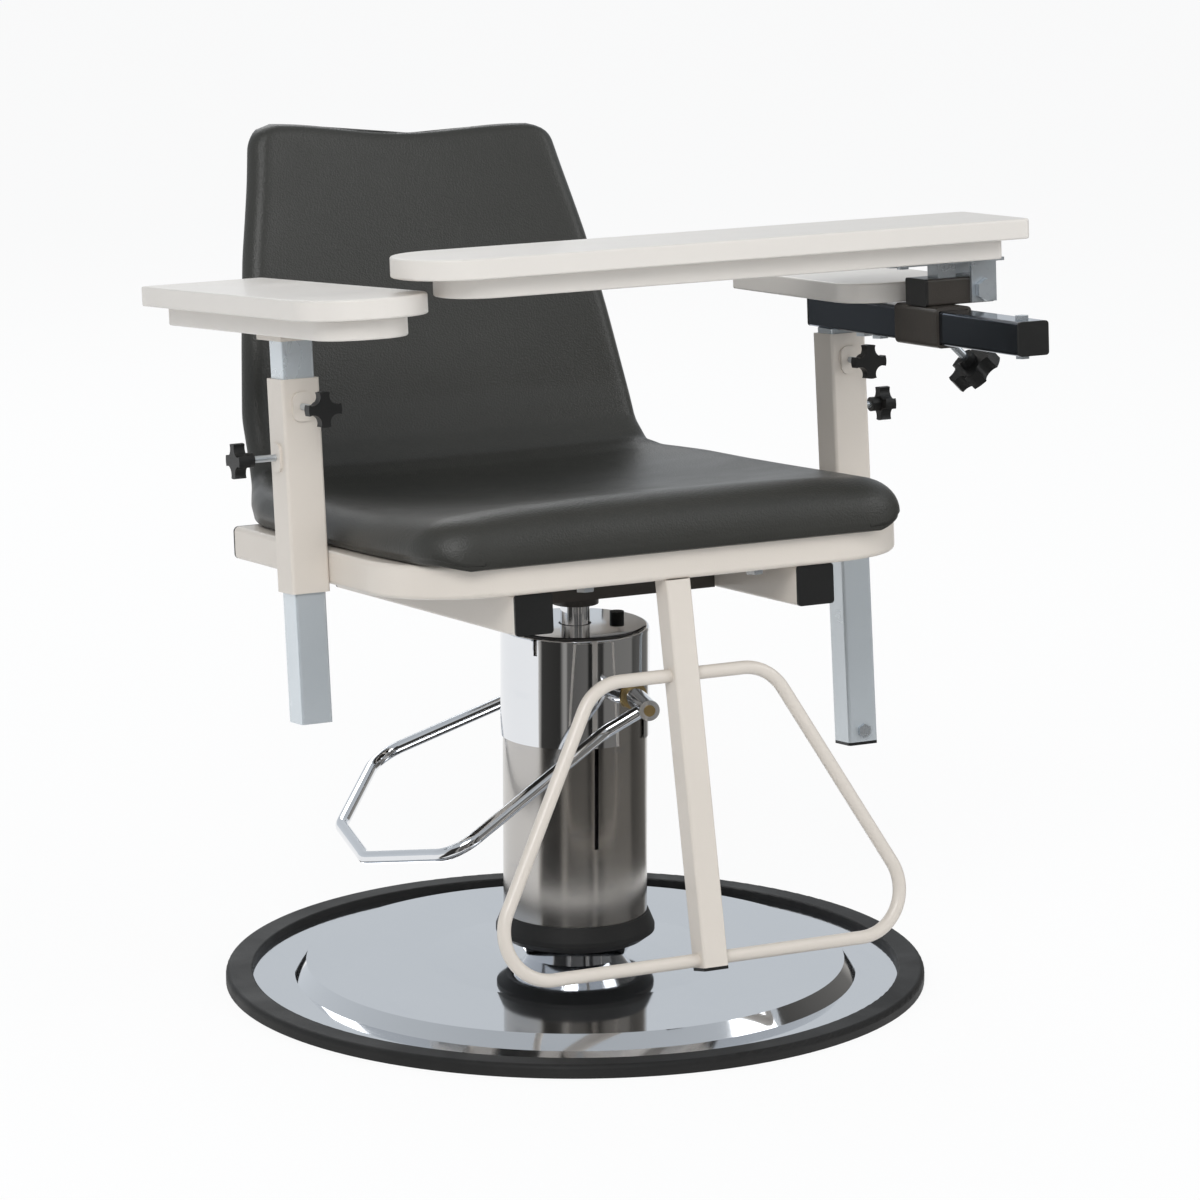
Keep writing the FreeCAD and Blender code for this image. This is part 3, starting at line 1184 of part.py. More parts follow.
head = prism(s.stop_head, (0, -half_post, stop_height), (0, stop_out, stop_height))
stop = stop.fuse(head).removeSplitter()
stop.Placement = bar_place.inverse() * post_place_low
bolts.append(stop)
plain("right_arm_bolts", Part.makeCompound(bolts), bar_place)
right_board = bar_place * Place(V(0, 0, float(lift)), Turn())
arm_board("arm_board_right", right_board, half_panel, half_panel, s.right_panel_front, s.right_panel_rear,
          [s.right_panel_round] * 2 + [s.panel_rear_round] * 2,
          [(0, -s.bar_bolt_near), (0, -s.bar_bolt_far)], s.bolt_radius, s.bolt_bite)

# Carriage on the bar, with its hinge block and clamp
carriage_end = Place(V(0, -float(s.carriage_rear), float(half_post)), Turn(X_AXIS, 90))
carriage_middle = s.carriage_rear + s.carriage_length / 2
diagonal = Turn(Y_AXIS, 135)
clamp_at = Place(V(0, -float(carriage_middle), float(half_post)), diagonal)
half_carriage = s.beam_side / 2
carriage_run = V(0, 0, float(s.carriage_length))
inner_half = half_post + s.slide_gap
sleeve_outline = rounded_wire(half_carriage, half_carriage, s.carriage_corner, Place())
sleeve = Part.Face(sleeve_outline).extrude(carriage_run)
hollow = Part.Face(rounded_wire(inner_half, inner_half, s.beam_corner / 2, Place())).extrude(carriage_run)
sleeve = sleeve.cut(hollow)
local_clamp = carriage_end.inverse() * clamp_at
clamp_hole = Part.makeCylinder(float(s.clamp_radius + s.stud_fit), float(s.clamp_reach))
clamp_hole.Placement = local_clamp
plain("carriage_sleeve", sleeve.cut(clamp_hole), bar_place * carriage_end)

bar_corner = half_post * math.sqrt(2) - s.beam_corner * (math.sqrt(2) - 1)
clamp_low = bar_corner + s.clamp_start
clamp_length = s.clamp_reach + s.clamp_knob_thick / 2 - clamp_low
clamp = doc.addObject("Part::Cylinder", "clamp_screw")
clamp.Label = "clamp_screw"
bind(clamp, "Radius", s.clamp_radius)
bind(clamp, "Height", clamp_length - s.clamp_knob_thick / 2)
clamp.Placement = bar_place * clamp_at * Place(V(0, 0, float(clamp_low)), Turn())
pieces.append(clamp)
knob = lobed(5, s.clamp_knob_half, s.clamp_scoop, s.clamp_scoop_place, s.clamp_knob_thick, s.clamp_hub,
             s.clamp_hub_length, s.clamp_radius)
knob_low = s.clamp_reach - s.clamp_knob_thick / 2 - s.clamp_hub_length
plain("clamp_knob", knob, bar_place * clamp_at * Place(V(0, 0, float(knob_low)), Turn()))

block_bottom = half_post + half_carriage
block_middle = block_bottom + s.block_height / 2
hinge_at = Place(V(0, -float(carriage_middle), float(block_middle)), Turn())
block_start = Place(V(-float(s.block_left - s.cap_lip), 0, 0), Turn(Y_AXIS, 90))
hinge = new_body("hinge_block", bar_place * hinge_at * block_start)
ends = new_sketch(hinge)
half_high, half_deep = s.block_height / 2, s.block_depth / 2
draw_rounded(ends, half_high, half_high, half_deep, half_deep, [s.foot_corner] * 4)
inner_high, inner_deep = half_high - s.tube_wall, half_deep - s.tube_wall
draw_rounded(ends, inner_high, inner_high, inner_deep, inner_deep, [s.foot_corner / 2] * 4)
add_pad(hinge, ends, s.block_left + s.block_right - s.cap_lip)
side_hole(hinge, s.pivot_radius, s.block_left - s.cap_lip + s.pivot_place)
block_cap = square_cap(half_high, half_deep, s.tube_wall, s.foot_corner, Place())
plain("block_cap", block_cap, bar_place * hinge_at * block_start)

# Hinge bracket: two ears round the hinge bolt, a top plate and a rest pad that lands on the block
ear_in = half_deep + s.hinge_gap
ear_out = ear_in + s.hinge_wall
web_low = half_high + s.hinge_rise
web_high = web_low + s.hinge_wall
bracket = slab((-s.hinge_left, -ear_out, web_low), (s.hinge_right, ear_out, web_high))
for side in (-1, 1):
    a, b = sorted((float(side * ear_in), float(side * ear_out)))
    low = (s.pivot_place - s.ear_width / 2, a, -s.ear_drop)
    high = (s.pivot_place + s.ear_width / 2, b, web_low)
    bracket = bracket.fuse(slab(low, high))
pad = slab((s.rest_left, -s.rest_half, half_high), (s.rest_right, s.rest_half, web_low))
bracket = bracket.fuse(pad).removeSplitter()
pivot_fit = s.pivot_radius + s.pivot_gap
bracket = bracket.cut(rod(pivot_fit, (s.pivot_place, -ear_out, 0), (s.pivot_place, ear_out, 0)))
screws = []
spots = []
for x in (s.screw_head * 1.5 - s.hinge_left, s.hinge_right - s.screw_head * 1.5):
    for y in (-s.rest_half, s.rest_half):
        spots.append((x, y))
        hole = rod(s.screw_radius, (x, y, web_low), (x, y, web_high))
        bracket = bracket.cut(hole)
        shank = rod(s.screw_radius, (x, y, web_low), (x, y, web_high + s.screw_bite))
        head = rod(s.screw_head, (x, y, web_low - s.screw_head_height), (x, y, web_low))
        screws.append(shank.fuse(head).removeSplitter())
plain("hinge_bracket", bracket, bar_place * hinge_at)
plain("flip_screws", Part.makeCompound(screws), bar_place * hinge_at)
head_at = ear_out + s.hinge_gap
bolt = rod(s.pivot_radius, (s.pivot_place, -head_at, 0), (s.pivot_place, head_at + s.pivot_nut_height, 0))
head = prism(s.pivot_head, (s.pivot_place, -head_at, 0), (s.pivot_place, -(head_at + s.pivot_head_height), 0))
nut = prism(s.pivot_head, (s.pivot_place, head_at, 0), (s.pivot_place, head_at + s.pivot_nut_height, 0))
plain("hinge_bolt", bolt.fuse([head, nut]).removeSplitter(), bar_place * hinge_at)

flip_left = sleeve_centre * 2 - s.flip_short
for level, name in ((0, "lower"), (1, "upper")):
    cut = inset * (1 - level)
    far = s.flip_inset * (1 - level)
    place = bar_place * hinge_at * Place(V(0, 0, float(web_high + s.panel_thick * level)), Turn())
    arm_board(f"flip_board_{name}", place, flip_left - far, s.flip_right - cut, half_panel - cut,
              half_panel - cut,
              [s.flip_round - cut, s.panel_rear_round, s.panel_rear_round, s.flip_round - cut],
              [] if level else spots, s.screw_radius, s.screw_bite)

doc.recompute()
for item in doc.Objects:
    bad = [state for state in item.State if state in ("Invalid", "Error")]
    assert not bad, f"{item.Label} is {bad}"
names = [item.Label for item in pieces]
assert len(names) == len(set(names)) <= 60, len(names)
os.makedirs("parts", exist_ok=True)
for item in pieces:
    assert not item.Shape.isNull() and item.Shape.isValid(), item.Label
for item in pieces:
    item.Shape.exportStep(f"parts/{item.Label}.step")
print(len(pieces), "pieces")
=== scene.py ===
"""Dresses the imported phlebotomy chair: padding, finishes, floor, light and camera."""
import json
import math
import bpy
import numpy as np
from mathutils import Euler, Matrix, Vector


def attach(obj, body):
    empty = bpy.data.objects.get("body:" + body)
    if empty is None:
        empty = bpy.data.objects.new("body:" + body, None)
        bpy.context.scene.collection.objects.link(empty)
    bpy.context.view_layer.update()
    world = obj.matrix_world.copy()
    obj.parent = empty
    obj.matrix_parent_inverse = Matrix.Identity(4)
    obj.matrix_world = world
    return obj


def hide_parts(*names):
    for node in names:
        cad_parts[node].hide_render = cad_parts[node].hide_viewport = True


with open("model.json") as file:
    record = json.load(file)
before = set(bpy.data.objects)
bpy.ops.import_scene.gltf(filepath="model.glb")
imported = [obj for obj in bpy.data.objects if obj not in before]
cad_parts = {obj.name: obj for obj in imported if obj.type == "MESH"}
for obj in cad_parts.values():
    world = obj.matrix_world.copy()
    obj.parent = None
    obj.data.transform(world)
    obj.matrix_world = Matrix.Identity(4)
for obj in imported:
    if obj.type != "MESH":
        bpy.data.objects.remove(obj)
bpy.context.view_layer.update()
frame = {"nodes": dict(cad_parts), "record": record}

# The seat frame's own axes: origin over the column, tilted back about X
FRAME_HEIGHT = 0.4175
FRAME_TILT = math.radians(4.7)


def from_frame(points):
    """Points of the tilted seat frame in world axes: a turn about X by minus the tilt, then the lift."""
    x, y, z = points[..., 0], points[..., 1], points[..., 2]
    cos, sin = math.cos(FRAME_TILT), math.sin(FRAME_TILT)
    return np.stack([x, y * cos + z * sin, FRAME_HEIGHT - y * sin + z * cos], axis=-1)


def grid_faces(rows, columns, closed):
    """Quads between neighbouring rows and columns of a grid, joined round the columns if closed."""
    i = np.arange(rows - 1)[:, None]
    j = np.arange(columns if closed else columns - 1)[None, :]
    k = (j + 1) % columns
    quads = [i * columns + j, i * columns + k, (i + 1) * columns + k, (i + 1) * columns + j]
    return np.stack(quads, axis=-1).reshape(-1, 4)


def mesh_piece(name, points, faces, material, smooth=True):
    """Object at the origin from world points and faces, with one material."""
    mesh = bpy.data.meshes.new(name)
    mesh.from_pydata(points.tolist(), [], [list(face) for face in faces])
    mesh.update()
    if smooth:
        mesh.polygons.foreach_set("use_smooth", [True] * len(mesh.polygons))
    mesh.materials.append(material)
    piece = bpy.data.objects.new(name, mesh)
    bpy.context.scene.collection.objects.link(piece)
    return piece


# Node trees

def add_node(tree, kind, settings=None, **values):
    """Node with its settings, and with values or links on its inputs.

    An input is named with underscores for spaces, or by its number after an underscore.
    """
    node = tree.nodes.new(f"ShaderNode{kind}")
    for key, value in (settings or {}).items():
        setattr(node, key, value)
    for key, value in values.items():
        number = key[1:]
        socket = node.inputs[int(number)] if number.isdigit() else node.inputs[key.replace("_", " ")]
        fill_socket(tree, socket, value)
    return node


def fill_socket(tree, socket, value):
    """A link to the socket, or its plain value."""
    if isinstance(value, bpy.types.NodeSocket):
        tree.links.new(value, socket)
    else:
        socket.default_value = value


def add_sum(tree, operation, first, second, third=None, clamp=False):
    """Output of one sum on two or three values."""
    terms = {"_0": first, "_1": second}
    if third is not None:
        terms["_2"] = third
    return add_node(tree, "Math", {"operation": operation, "use_clamp": clamp}, **terms).outputs[0]


def add_span(tree, value, source, target):
    """Output of a value that is carried from the source span to the target span and held inside it."""
    return add_node(tree, "MapRange", Value=value, From_Min=source[0], From_Max=source[1],
                    To_Min=target[0], To_Max=target[1]).outputs[0]


def empty_tree(owner):
    """Node tree of a material or a world, with nothing in it yet."""
    owner.use_nodes = True
    owner.node_tree.nodes.clear()
    return owner.node_tree


def new_group(name, inputs, outputs):
    """Node group whose inputs are (name, default), with None for a vector, and whose outputs are floats."""
    group = bpy.data.node_groups.new(name, "ShaderNodeTree")
    for label, value in inputs:
        kind = "NodeSocketVector" if value is None else "NodeSocketFloat"
        socket = group.interface.new_socket(name=label, in_out="INPUT", socket_type=kind)
        if value is not None:
            socket.default_value = value
    for label in outputs:
        group.interface.new_socket(name=label, in_out="OUTPUT", socket_type="NodeSocketFloat")
    return group, group.nodes.new("NodeGroupInput"), group.nodes.new("NodeGroupOutput")


def add_group(tree, group, **values):
    """A shared effect placed in a material, with its own values."""
    node = tree.nodes.new("ShaderNodeGroup")
    node.node_tree = group
    for key, value in values.items():
        fill_socket(tree, node.inputs[key], value)
    return node


# Shared effects

# The second grain on the skin: how many times finer than the cells, and how high beside them
FINER_GRAIN = 2.7
FINER_HEIGHT = 0.45


def skin_grain():
    """Moulded skin: small rounded cells under a finer noise, and a slow cloud for its colour."""
    group, start, end = new_group("skin_grain", [("Vector", None), ("Size", 300.0)], ["Height", "Cloud"])
    place, size = start.outputs[:2]
    cells = add_node(group, "TexVoronoi", {"feature": "SMOOTH_F1"}, Vector=place, Scale=size, Smoothness=0.6)
    finer = add_sum(group, "MULTIPLY", size, FINER_GRAIN)
    noise = add_node(group, "TexNoise", Vector=place, Scale=finer, Detail=3.0)
    height = add_sum(group, "MULTIPLY_ADD", noise.outputs[0], FINER_HEIGHT, cells.outputs[0])
    cloud = add_node(group, "TexNoise", Vector=place, Scale=7.0, Detail=4.0, Roughness=0.6)
    group.links.new(height, end.inputs["Height"])
    group.links.new(cloud.outputs[0], end.inputs["Cloud"])
    return group


# Use marks: how the noise is stretched and turned into streaks, and the part of it that shows as one
STREAK_STRETCH = (1.0, 0.22, 1.6)
STREAK_TURN = (0.4, 0.7, 0.3)
STREAK_SPAN = (0.56, 0.72)


def use_marks():
    """Use marks: thin streaks from a stretched noise, cut by a threshold, and a slow smudge."""
    group, start, end = new_group("use_marks", [("Vector", None), ("Size", 60.0), ("Amount", 0.5)],
                                  ["Streaks", "Smudge"])
    place, size, amount = start.outputs[:3]
    stretch = add_node(group, "Mapping", Vector=place, Rotation=STREAK_TURN, Scale=STREAK_STRETCH)
    lines = add_node(group, "TexNoise", Vector=stretch.outputs[0], Scale=size, Detail=6.0, Roughness=0.7)
    streaks = add_sum(group, "MULTIPLY", add_span(group, lines.outputs[0], STREAK_SPAN, (0.0, 1.0)), amount)
    smudge = add_node(group, "TexNoise", Vector=place, Scale=11.0, Detail=3.0, Distortion=0.6)
    group.links.new(streaks, end.inputs["Streaks"])
    group.links.new(smudge.outputs[0], end.inputs["Smudge"])
    return group


GRAIN = skin_grain()
MARKS = use_marks()

# Every finish: the cloud's weight in its colour, the smudges that set its gloss, the roughness that a streak
# adds, and how rough a clear coat is
CLOUD_WEIGHT = 0.8
SMUDGE_SPAN = (0.3, 0.7)
STREAK_ROUGH = 0.08
COAT_ROUGH = 0.1


def finish(name, colour, varied, rough, metal=0.0, grain=(300.0, 0.1, 0.0002), marks=(60.0, 0.4), coat=0.0,
           specular=0.5):
    """Principled finish: two colours mixed by a cloud, roughness from smudges and streaks, bump from grain.

    rough is (low, high), grain is (cells per metre, strength, depth in metres) and marks is (streaks per
    metre, amount).
    """
    material = bpy.data.materials.new(name)
    material.use_nodes = True
    tree = material.node_tree
    shader = tree.nodes["Principled BSDF"]
    place = add_node(tree, "TexCoord").outputs["Object"]
    skin = add_group(tree, GRAIN, Vector=place, Size=grain[0])
    used = add_group(tree, MARKS, Vector=place, Size=marks[0], Amount=marks[1])
    cloud = add_sum(tree, "MULTIPLY_ADD", skin.outputs["Cloud"], CLOUD_WEIGHT, used.outputs["Streaks"],
                    clamp=True)
    mix = add_node(tree, "Mix", {"data_type": "RGBA"}, _0=cloud, _6=(*colour, 1), _7=(*varied, 1))
    gloss = add_span(tree, used.outputs["Smudge"], SMUDGE_SPAN, rough)
    streaky = add_sum(tree, "MULTIPLY_ADD", used.outputs["Streaks"], STREAK_ROUGH, gloss)
    bump = add_node(tree, "Bump", Height=skin.outputs["Height"], Strength=grain[1], Distance=grain[2])
    tree.links.new(mix.outputs[2], shader.inputs["Base Color"])
    tree.links.new(streaky, shader.inputs["Roughness"])
    tree.links.new(bump.outputs[0], shader.inputs["Normal"])
    shader.inputs["Metallic"].default_value = metal
    shader.inputs["Coat Weight"].default_value = coat
    shader.inputs["Coat Roughness"].default_value = COAT_ROUGH
    shader.inputs["Specular IOR Level"].default_value = specular
    return material


# One finish for each of the record's slots: colour, its variation, roughness, then what sets it apart
SLOT_FINISHES = {
    "cream_paint": dict(colour=(0.70, 0.635, 0.565), varied=(0.645, 0.585, 0.515), rough=(0.30, 0.40),
                        grain=(700.0, 0.12, 0.0004), marks=(50.0, 0.12), coat=0.15),
    "cream_board": dict(colour=(0.735, 0.69, 0.64), varied=(0.70, 0.655, 0.60), rough=(0.34, 0.44),
                        grain=(520.0, 0.08, 0.0003), marks=(45.0, 0.10), coat=0.1),
    "padding": dict(colour=(0.030, 0.0295, 0.0255), varied=(0.042, 0.041, 0.036), rough=(0.36, 0.44),
                    grain=(520.0, 0.5, 0.0005), marks=(35.0, 0.15), specular=0.38),
    "dark_paint": dict(colour=(0.036, 0.030, 0.025), varied=(0.052, 0.044, 0.036), rough=(0.28, 0.40),
                       grain=(500.0, 0.15, 0.0004), marks=(60.0, 0.25), coat=0.2),
    "black_plastic": dict(colour=(0.010, 0.010, 0.010), varied=(0.018, 0.018, 0.017), rough=(0.36, 0.50),
                          grain=(1100.0, 0.25, 0.0003), marks=(80.0, 0.3), specular=0.35),
    "rubber": dict(colour=(0.009, 0.009, 0.009), varied=(0.018, 0.017, 0.016), rough=(0.50, 0.66),
                   grain=(900.0, 0.3, 0.0003), marks=(45.0, 0.45), specular=0.3),
    "wood_board": dict(colour=(0.045, 0.040, 0.035), varied=(0.07, 0.06, 0.05), rough=(0.5, 0.65),
                       grain=(300.0, 0.3, 0.0004)),
    "zinc": dict(colour=(0.66, 0.70, 0.73), varied=(0.52, 0.56, 0.60), rough=(0.24, 0.36), metal=0.8,
                 grain=(900.0, 0.08, 0.0002), marks=(90.0, 0.5)),
    "chrome": dict(colour=(0.80, 0.81, 0.83), varied=(0.74, 0.76, 0.79), rough=(0.045, 0.085), metal=1.0,
                   grain=(500.0, 0.01, 0.0001), marks=(40.0, 0.3)),
    "bare_steel": dict(colour=(0.55, 0.55, 0.56), varied=(0.46, 0.46, 0.47), rough=(0.28, 0.42), metal=1.0,
                       grain=(800.0, 0.1, 0.0002), marks=(120.0, 0.6)),
    "brass": dict(colour=(0.62, 0.46, 0.22), varied=(0.48, 0.36, 0.18), rough=(0.22, 0.36), metal=1.0,
                  grain=(900.0, 0.08, 0.0002)),
    "cast": dict(colour=(0.30, 0.30, 0.30), varied=(0.22, 0.22, 0.22), rough=(0.5, 0.65), metal=0.6,
                 grain=(400.0, 0.4, 0.0006)),
}
FINISHES = {name: finish(name, **look) for name, look in SLOT_FINISHES.items()}

# Nodes that share a slot but are finished another way
ZINC_TUBE = finish("zinc_tube", colour=(0.70, 0.745, 0.775), varied=(0.62, 0.665, 0.70), rough=(0.20, 0.30),
                   metal=0.45, grain=(900.0, 0.04, 0.0002), marks=(70.0, 0.10))
PUMP_STEEL = finish("pump_steel", colour=(0.56, 0.53, 0.49), varied=(0.44, 0.44, 0.45), rough=(0.14, 0.22),
                    metal=1.0, grain=(500.0, 0.02, 0.0002), marks=(40.0, 0.5))
# The arm bar's chrome with its colour darkened and tinted blue: a painted dark reflection
CHROME_PAINTED_DARK_REFLECTION = finish("chrome_painted_dark_reflection", colour=(0.26, 0.29, 0.34), varied=(0.20, 0.23, 0.28), rough=(0.06, 0.11),
                     metal=1.0, grain=(500.0, 0.01, 0.0001), marks=(60.0, 0.3))
OWN_FINISH = {
    "arm_post_left": ZINC_TUBE,
    "arm_post_right": ZINC_TUBE,
    "arm_bar": CHROME_PAINTED_DARK_REFLECTION,
    "pump_housing": PUMP_STEEL,
    "arm_bracket_left": FINISHES["cream_paint"],
}


def finish_nodes():
    """Every carried-over node in its own finish, or in that of its slot."""
    slot_of = {entry["node"]: entry["material_slot"] for entry in frame["record"]["subparts"]}
    for name, node in frame["nodes"].items():
        material = OWN_FINISH.get(name, FINISHES[slot_of[name]])
        for slot in node.material_slots:
            slot.material = material


# Padded one-piece shell. Columns: forward, up, lean in degrees, half width, foot, rim and middle height, the
# draw-in of the sides at the foot and the rounding of the rim. Lengths are in decimetres along the seat
# frame's axes, as are all others of the shell.
SHELL_STATIONS = np.array([
    (2.275, 0.3275, 0, 2.500, -0.070, 0.412, 0.475, 0.02, 0.34),
    (2.215, 0.3275, 0, 2.500, -0.065, 0.415, 0.478, 0.02, 0.34),
    (2.180, 0.3275, 0, 2.510, 0.000, 0.420, 0.480, 0.02, 0.34),
    (2.050, 0.3275, 0, 2.510, 0.000, 0.425, 0.482, 0.02, 0.34),
    (1.850, 0.3275, 0, 2.520, 0.000, 0.422, 0.475, 0.02, 0.34),
    (1.600, 0.3275, 0, 2.540, 0.000, 0.412, 0.450, 0.02, 0.34),
    (1.300, 0.3275, 0, 2.570, 0.000, 0.400, 0.405, 0.02, 0.34),
    (0.800, 0.3275, 0, 2.590, 0.000, 0.385, 0.345, 0.02, 0.34),
    (0.000, 0.3275, 0, 2.600, 0.000, 0.370, 0.285, 0.02, 0.32),
    (-1.000, 0.3275, 0, 2.600, 0.000, 0.360, 0.250, 0.02, 0.28),
    (-1.700, 0.3275, 0, 2.570, 0.000, 0.360, 0.250, 0.02, 0.25),
    (-2.100, 0.3280, 0, 2.460, 0.000, 0.365, 0.265, 0.02, 0.22),
    (-2.430, 0.3350, 6, 2.330, 0.000, 0.370, 0.295, 0.04, 0.20),
    (-2.820, 0.4400, 30, 2.190, 0.010, 0.370, 0.335, 0.08, 0.18),
    (-3.130, 0.7200, 56, 2.135, 0.060, 0.420, 0.390, 0.14, 0.17),
    (-3.390, 1.1400, 74, 2.122, 0.130, 0.500, 0.450, 0.16, 0.17),
    (-3.614, 1.8800, 76.3, 2.020, 0.170, 0.550, 0.460, 0.12, 0.17),
    (-3.811, 2.6900, 76.3, 1.890, 0.170, 0.550, 0.460, 0.10, 0.17),
    (-3.984, 3.4000, 76.3, 1.730, 0.170, 0.540, 0.450, 0.10, 0.17),
    (-4.098, 3.8850, 76.3, 1.640, 0.170, 0.520, 0.440, 0.10, 0.17),
])
DECIMETRE = 0.1

# Sections along the shell, the width in sections of the bell that smooths them, and its reach in widths
SHELL_ROWS = 260
BELL_WIDTH = 2.2
BELL_REACH = 3

# Corners of the outline, how far in from each end the thickness starts to close, the height on which it
# closes, over the foot at the front and over the middle of the thickness at the top, and how nearly it does
FRONT_CORNER = 0.5
TOP_CORNER = 0.22
FRONT_NOSE = 0.45
TOP_NOSE = 0.13
FRONT_CLOSE = 0.14
TOP_CLOSE = 0.04
CLOSED_SHARE = 0.999

# The foot's turn up into the front nose, and the rounding along its sides as a share of the thickness
FOOT_TURN = 0.035
FOOT_ROUND = 0.05
FOOT_ROUND_SHARE = 0.3

# The rim: its greatest share of the thickness, and its width over its height in the pan and less up the back
RIM_SHARE = 0.8
RIM_BROAD_SHARE = 1.4
RIM_NARROWS_SHARE = 0.4

# Power of the dished top in the pan, and how much lower it is up the back; the lean at which the change to
# the back starts, and the span in degrees over which it is made
DISH_POWER = 3.5
DISH_DROP = 1.1
BACK_LEAN = 5
BACK_SPAN = 50

# The back's top edge: its sag and half the sag's width, its slope to one side, its lift, and the depth below
# it over which these fade
TOP_DIP = 0.09
DIP_REACH = 1.35
TOP_SKEW = 0.052
TOP_LIFT = 0.035
TOP_FADE = 1.0

# Points on half a section: along the foot, round the foot's edge, up the side, round the rim, over the top
FOOT_POINTS = 14
EDGE_POINTS = 7
SIDE_POINTS = 6
RIM_POINTS = 12
TOP_POINTS = 26


def smooth_stations(table, count, width):
    """Stations at even steps along the shell, joined straight and then averaged with a bell-shaped window.

    The window is exp(-(step / width)^2 / 2), and past the ends the table goes on turned about its end point.
    """
    run = np.concatenate([[0], np.cumsum(np.hypot(np.diff(table[:, 0]), np.diff(table[:, 1])))])
    even = np.linspace(0, run[-1], count)
    rows = np.stack([np.interp(even, run, column) for column in table.T], axis=1)
    reach = int(BELL_REACH * width)
    bell = np.exp(-0.5 * (np.arange(-reach, reach + 1) / width) ** 2)
    bell /= bell.sum()
    before = 2 * rows[:1] - rows[reach:0:-1]
    after = 2 * rows[-1:] - rows[-2:-reach - 2:-1]
    padded = np.concatenate([before, rows, after])
    return even, np.stack([np.convolve(column, bell, "valid") for column in padded.T], axis=1)


def corner(centre, broad, high, start, count):
    """Quarter ovals: centre plus (broad * cos, high * sin) of an angle over a quarter turn from start."""
    angle = start + np.linspace(0, math.pi / 2, count)
    x = centre[0][:, None] + broad[:, None] * np.cos(angle)
    y = centre[1][:, None] + high[:, None] * np.sin(angle)
    return np.stack([x, y], axis=-1)


def straight(start, end, count):
    """Points between two ends, the ends left out."""
    share = np.linspace(0, 1, count + 2)[1:-1, None]
    first, last = np.stack(start, axis=-1)[:, None, :], np.stack(end, axis=-1)[:, None, :]
    return first * (1 - share) + last * share


def closing(away, reach):
    """How far a nose is open: sqrt(1 - s^2), where s falls from almost 1 at the end to 0 at the reach."""
    share = np.clip(1 - away / reach, 0, 1)
    return np.sqrt(1 - (share * CLOSED_SHARE) ** 2)


def closed_levels(levels, core, close):
    """Heights drawn together on the core: core + (level - core) * close."""
    return [core + (level - core) * close for level in levels]


def half_section(half, foot, rim, middle, draw, edge, leaning):
    """Right half of each section, from the middle of the foot out and back to the middle of the top.

    The foot is flat, the sides draw in to it, the rim is a quarter oval, and the top follows
    middle + (rim - middle) * (x / half)^power, flat across the pan and more dished up the back.
    """
    low = np.minimum((rim - foot) * FOOT_ROUND_SHARE, FOOT_ROUND)
    high = np.minimum((rim - foot) * RIM_SHARE, edge)
    broad = high * (RIM_BROAD_SHARE - RIM_NARROWS_SHARE * leaning)
    base = half - draw
    along = np.linspace(0, 1, FOOT_POINTS)[:-1]
    under = np.stack([along * (base - low)[:, None], np.repeat(foot[:, None], len(along), axis=1)], axis=-1)
    over = np.linspace(1, 0, TOP_POINTS)[1:]
    power = (DISH_POWER - DISH_DROP * leaning)[:, None]
    top = np.stack([(half - broad)[:, None] * over,
                    middle[:, None] + (rim - middle)[:, None] * over ** power], axis=-1)
    return np.concatenate([
        under,
        corner((base - low, foot + low), low, low, -math.pi / 2, EDGE_POINTS),
        straight((base, foot + low), (half, rim - high), SIDE_POINTS),
        corner((half - broad, rim - high), broad, high, 0, RIM_POINTS),
        top,
    ], axis=1)


def shell_surface():
    """Padding: a closed section carried along the shell.

    Near both ends the half width falls as a quarter circle does. At the front the top closes down on the
    foot the same way, and at the back's top edge foot and top close on a middle height. That edge sags in
    its middle by TOP_DIP * (1 + cos(pi * x / reach)) / 2 and stands a little higher on one side, fading out
    below it.
    """
    even, rows = smooth_stations(SHELL_STATIONS, SHELL_ROWS, BELL_WIDTH)
    forward, up, lean, half, foot, rim, middle, draw, edge = rows.T
    left_over = even[-1] - even
    for away, reach in ((even, FRONT_CORNER), (left_over, TOP_CORNER)):
        half = half - reach * (1 - np.sqrt(1 - np.clip(1 - away / reach, 0, 1) ** 2))
    core = 0.5 * (foot + rim) + TOP_CLOSE
    foot, rim, middle = closed_levels((foot, rim, middle), core, closing(left_over, TOP_NOSE))
    rim, middle = closed_levels((rim, middle), foot + FRONT_CLOSE, closing(even, FRONT_NOSE))
    foot = foot + FOOT_TURN * (1 - closing(even, FOOT_TURN))
    leaning = np.clip((lean - BACK_LEAN) / BACK_SPAN, 0, 1)
    side = half_section(half, foot, rim, middle, draw, edge, leaning)
    mirror = side[:, -2:0:-1] * np.array([-1.0, 1.0])
    section = np.concatenate([side, mirror], axis=1)
    x, t = section[..., 0], section[..., 1]
    angle = np.radians(lean)[:, None]
    y = -(forward[:, None] + t * np.sin(angle))
    z = up[:, None] + t * np.cos(angle)
    fade = np.clip(1 - left_over / TOP_FADE, 0, 1)[:, None] ** 2
    sag = 0.5 * TOP_DIP * (1 + np.cos(math.pi * np.minimum(np.abs(x) / DIP_REACH, 1)))
    z = z + fade * (TOP_LIFT - TOP_SKEW * x - sag)
    points = np.stack([x, y, z], axis=-1) * DECIMETRE
    count, columns = x.shape
    front = list(range(columns))[::-1]
    back = [(count - 1) * columns + j for j in range(columns)]
    faces = grid_faces(count, columns, True).tolist() + [front, back]
    return from_frame(points.reshape(-1, 3)), faces


def seat_padding():
    """The padded shell, in place of the plain one."""
    points, faces = shell_surface()
    padding = mesh_piece("seat_padding", points, faces, FINISHES["padding"])
    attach(padding, "seat")
    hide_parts("seat_shell")


# Floor: half its side, how far it lies under the foot, how much of it is plain white to what looks at it
FLOOR_REACH = 40.0
FLOOR_GAP = 0.0005
FLOOR_WHITE = 0.90


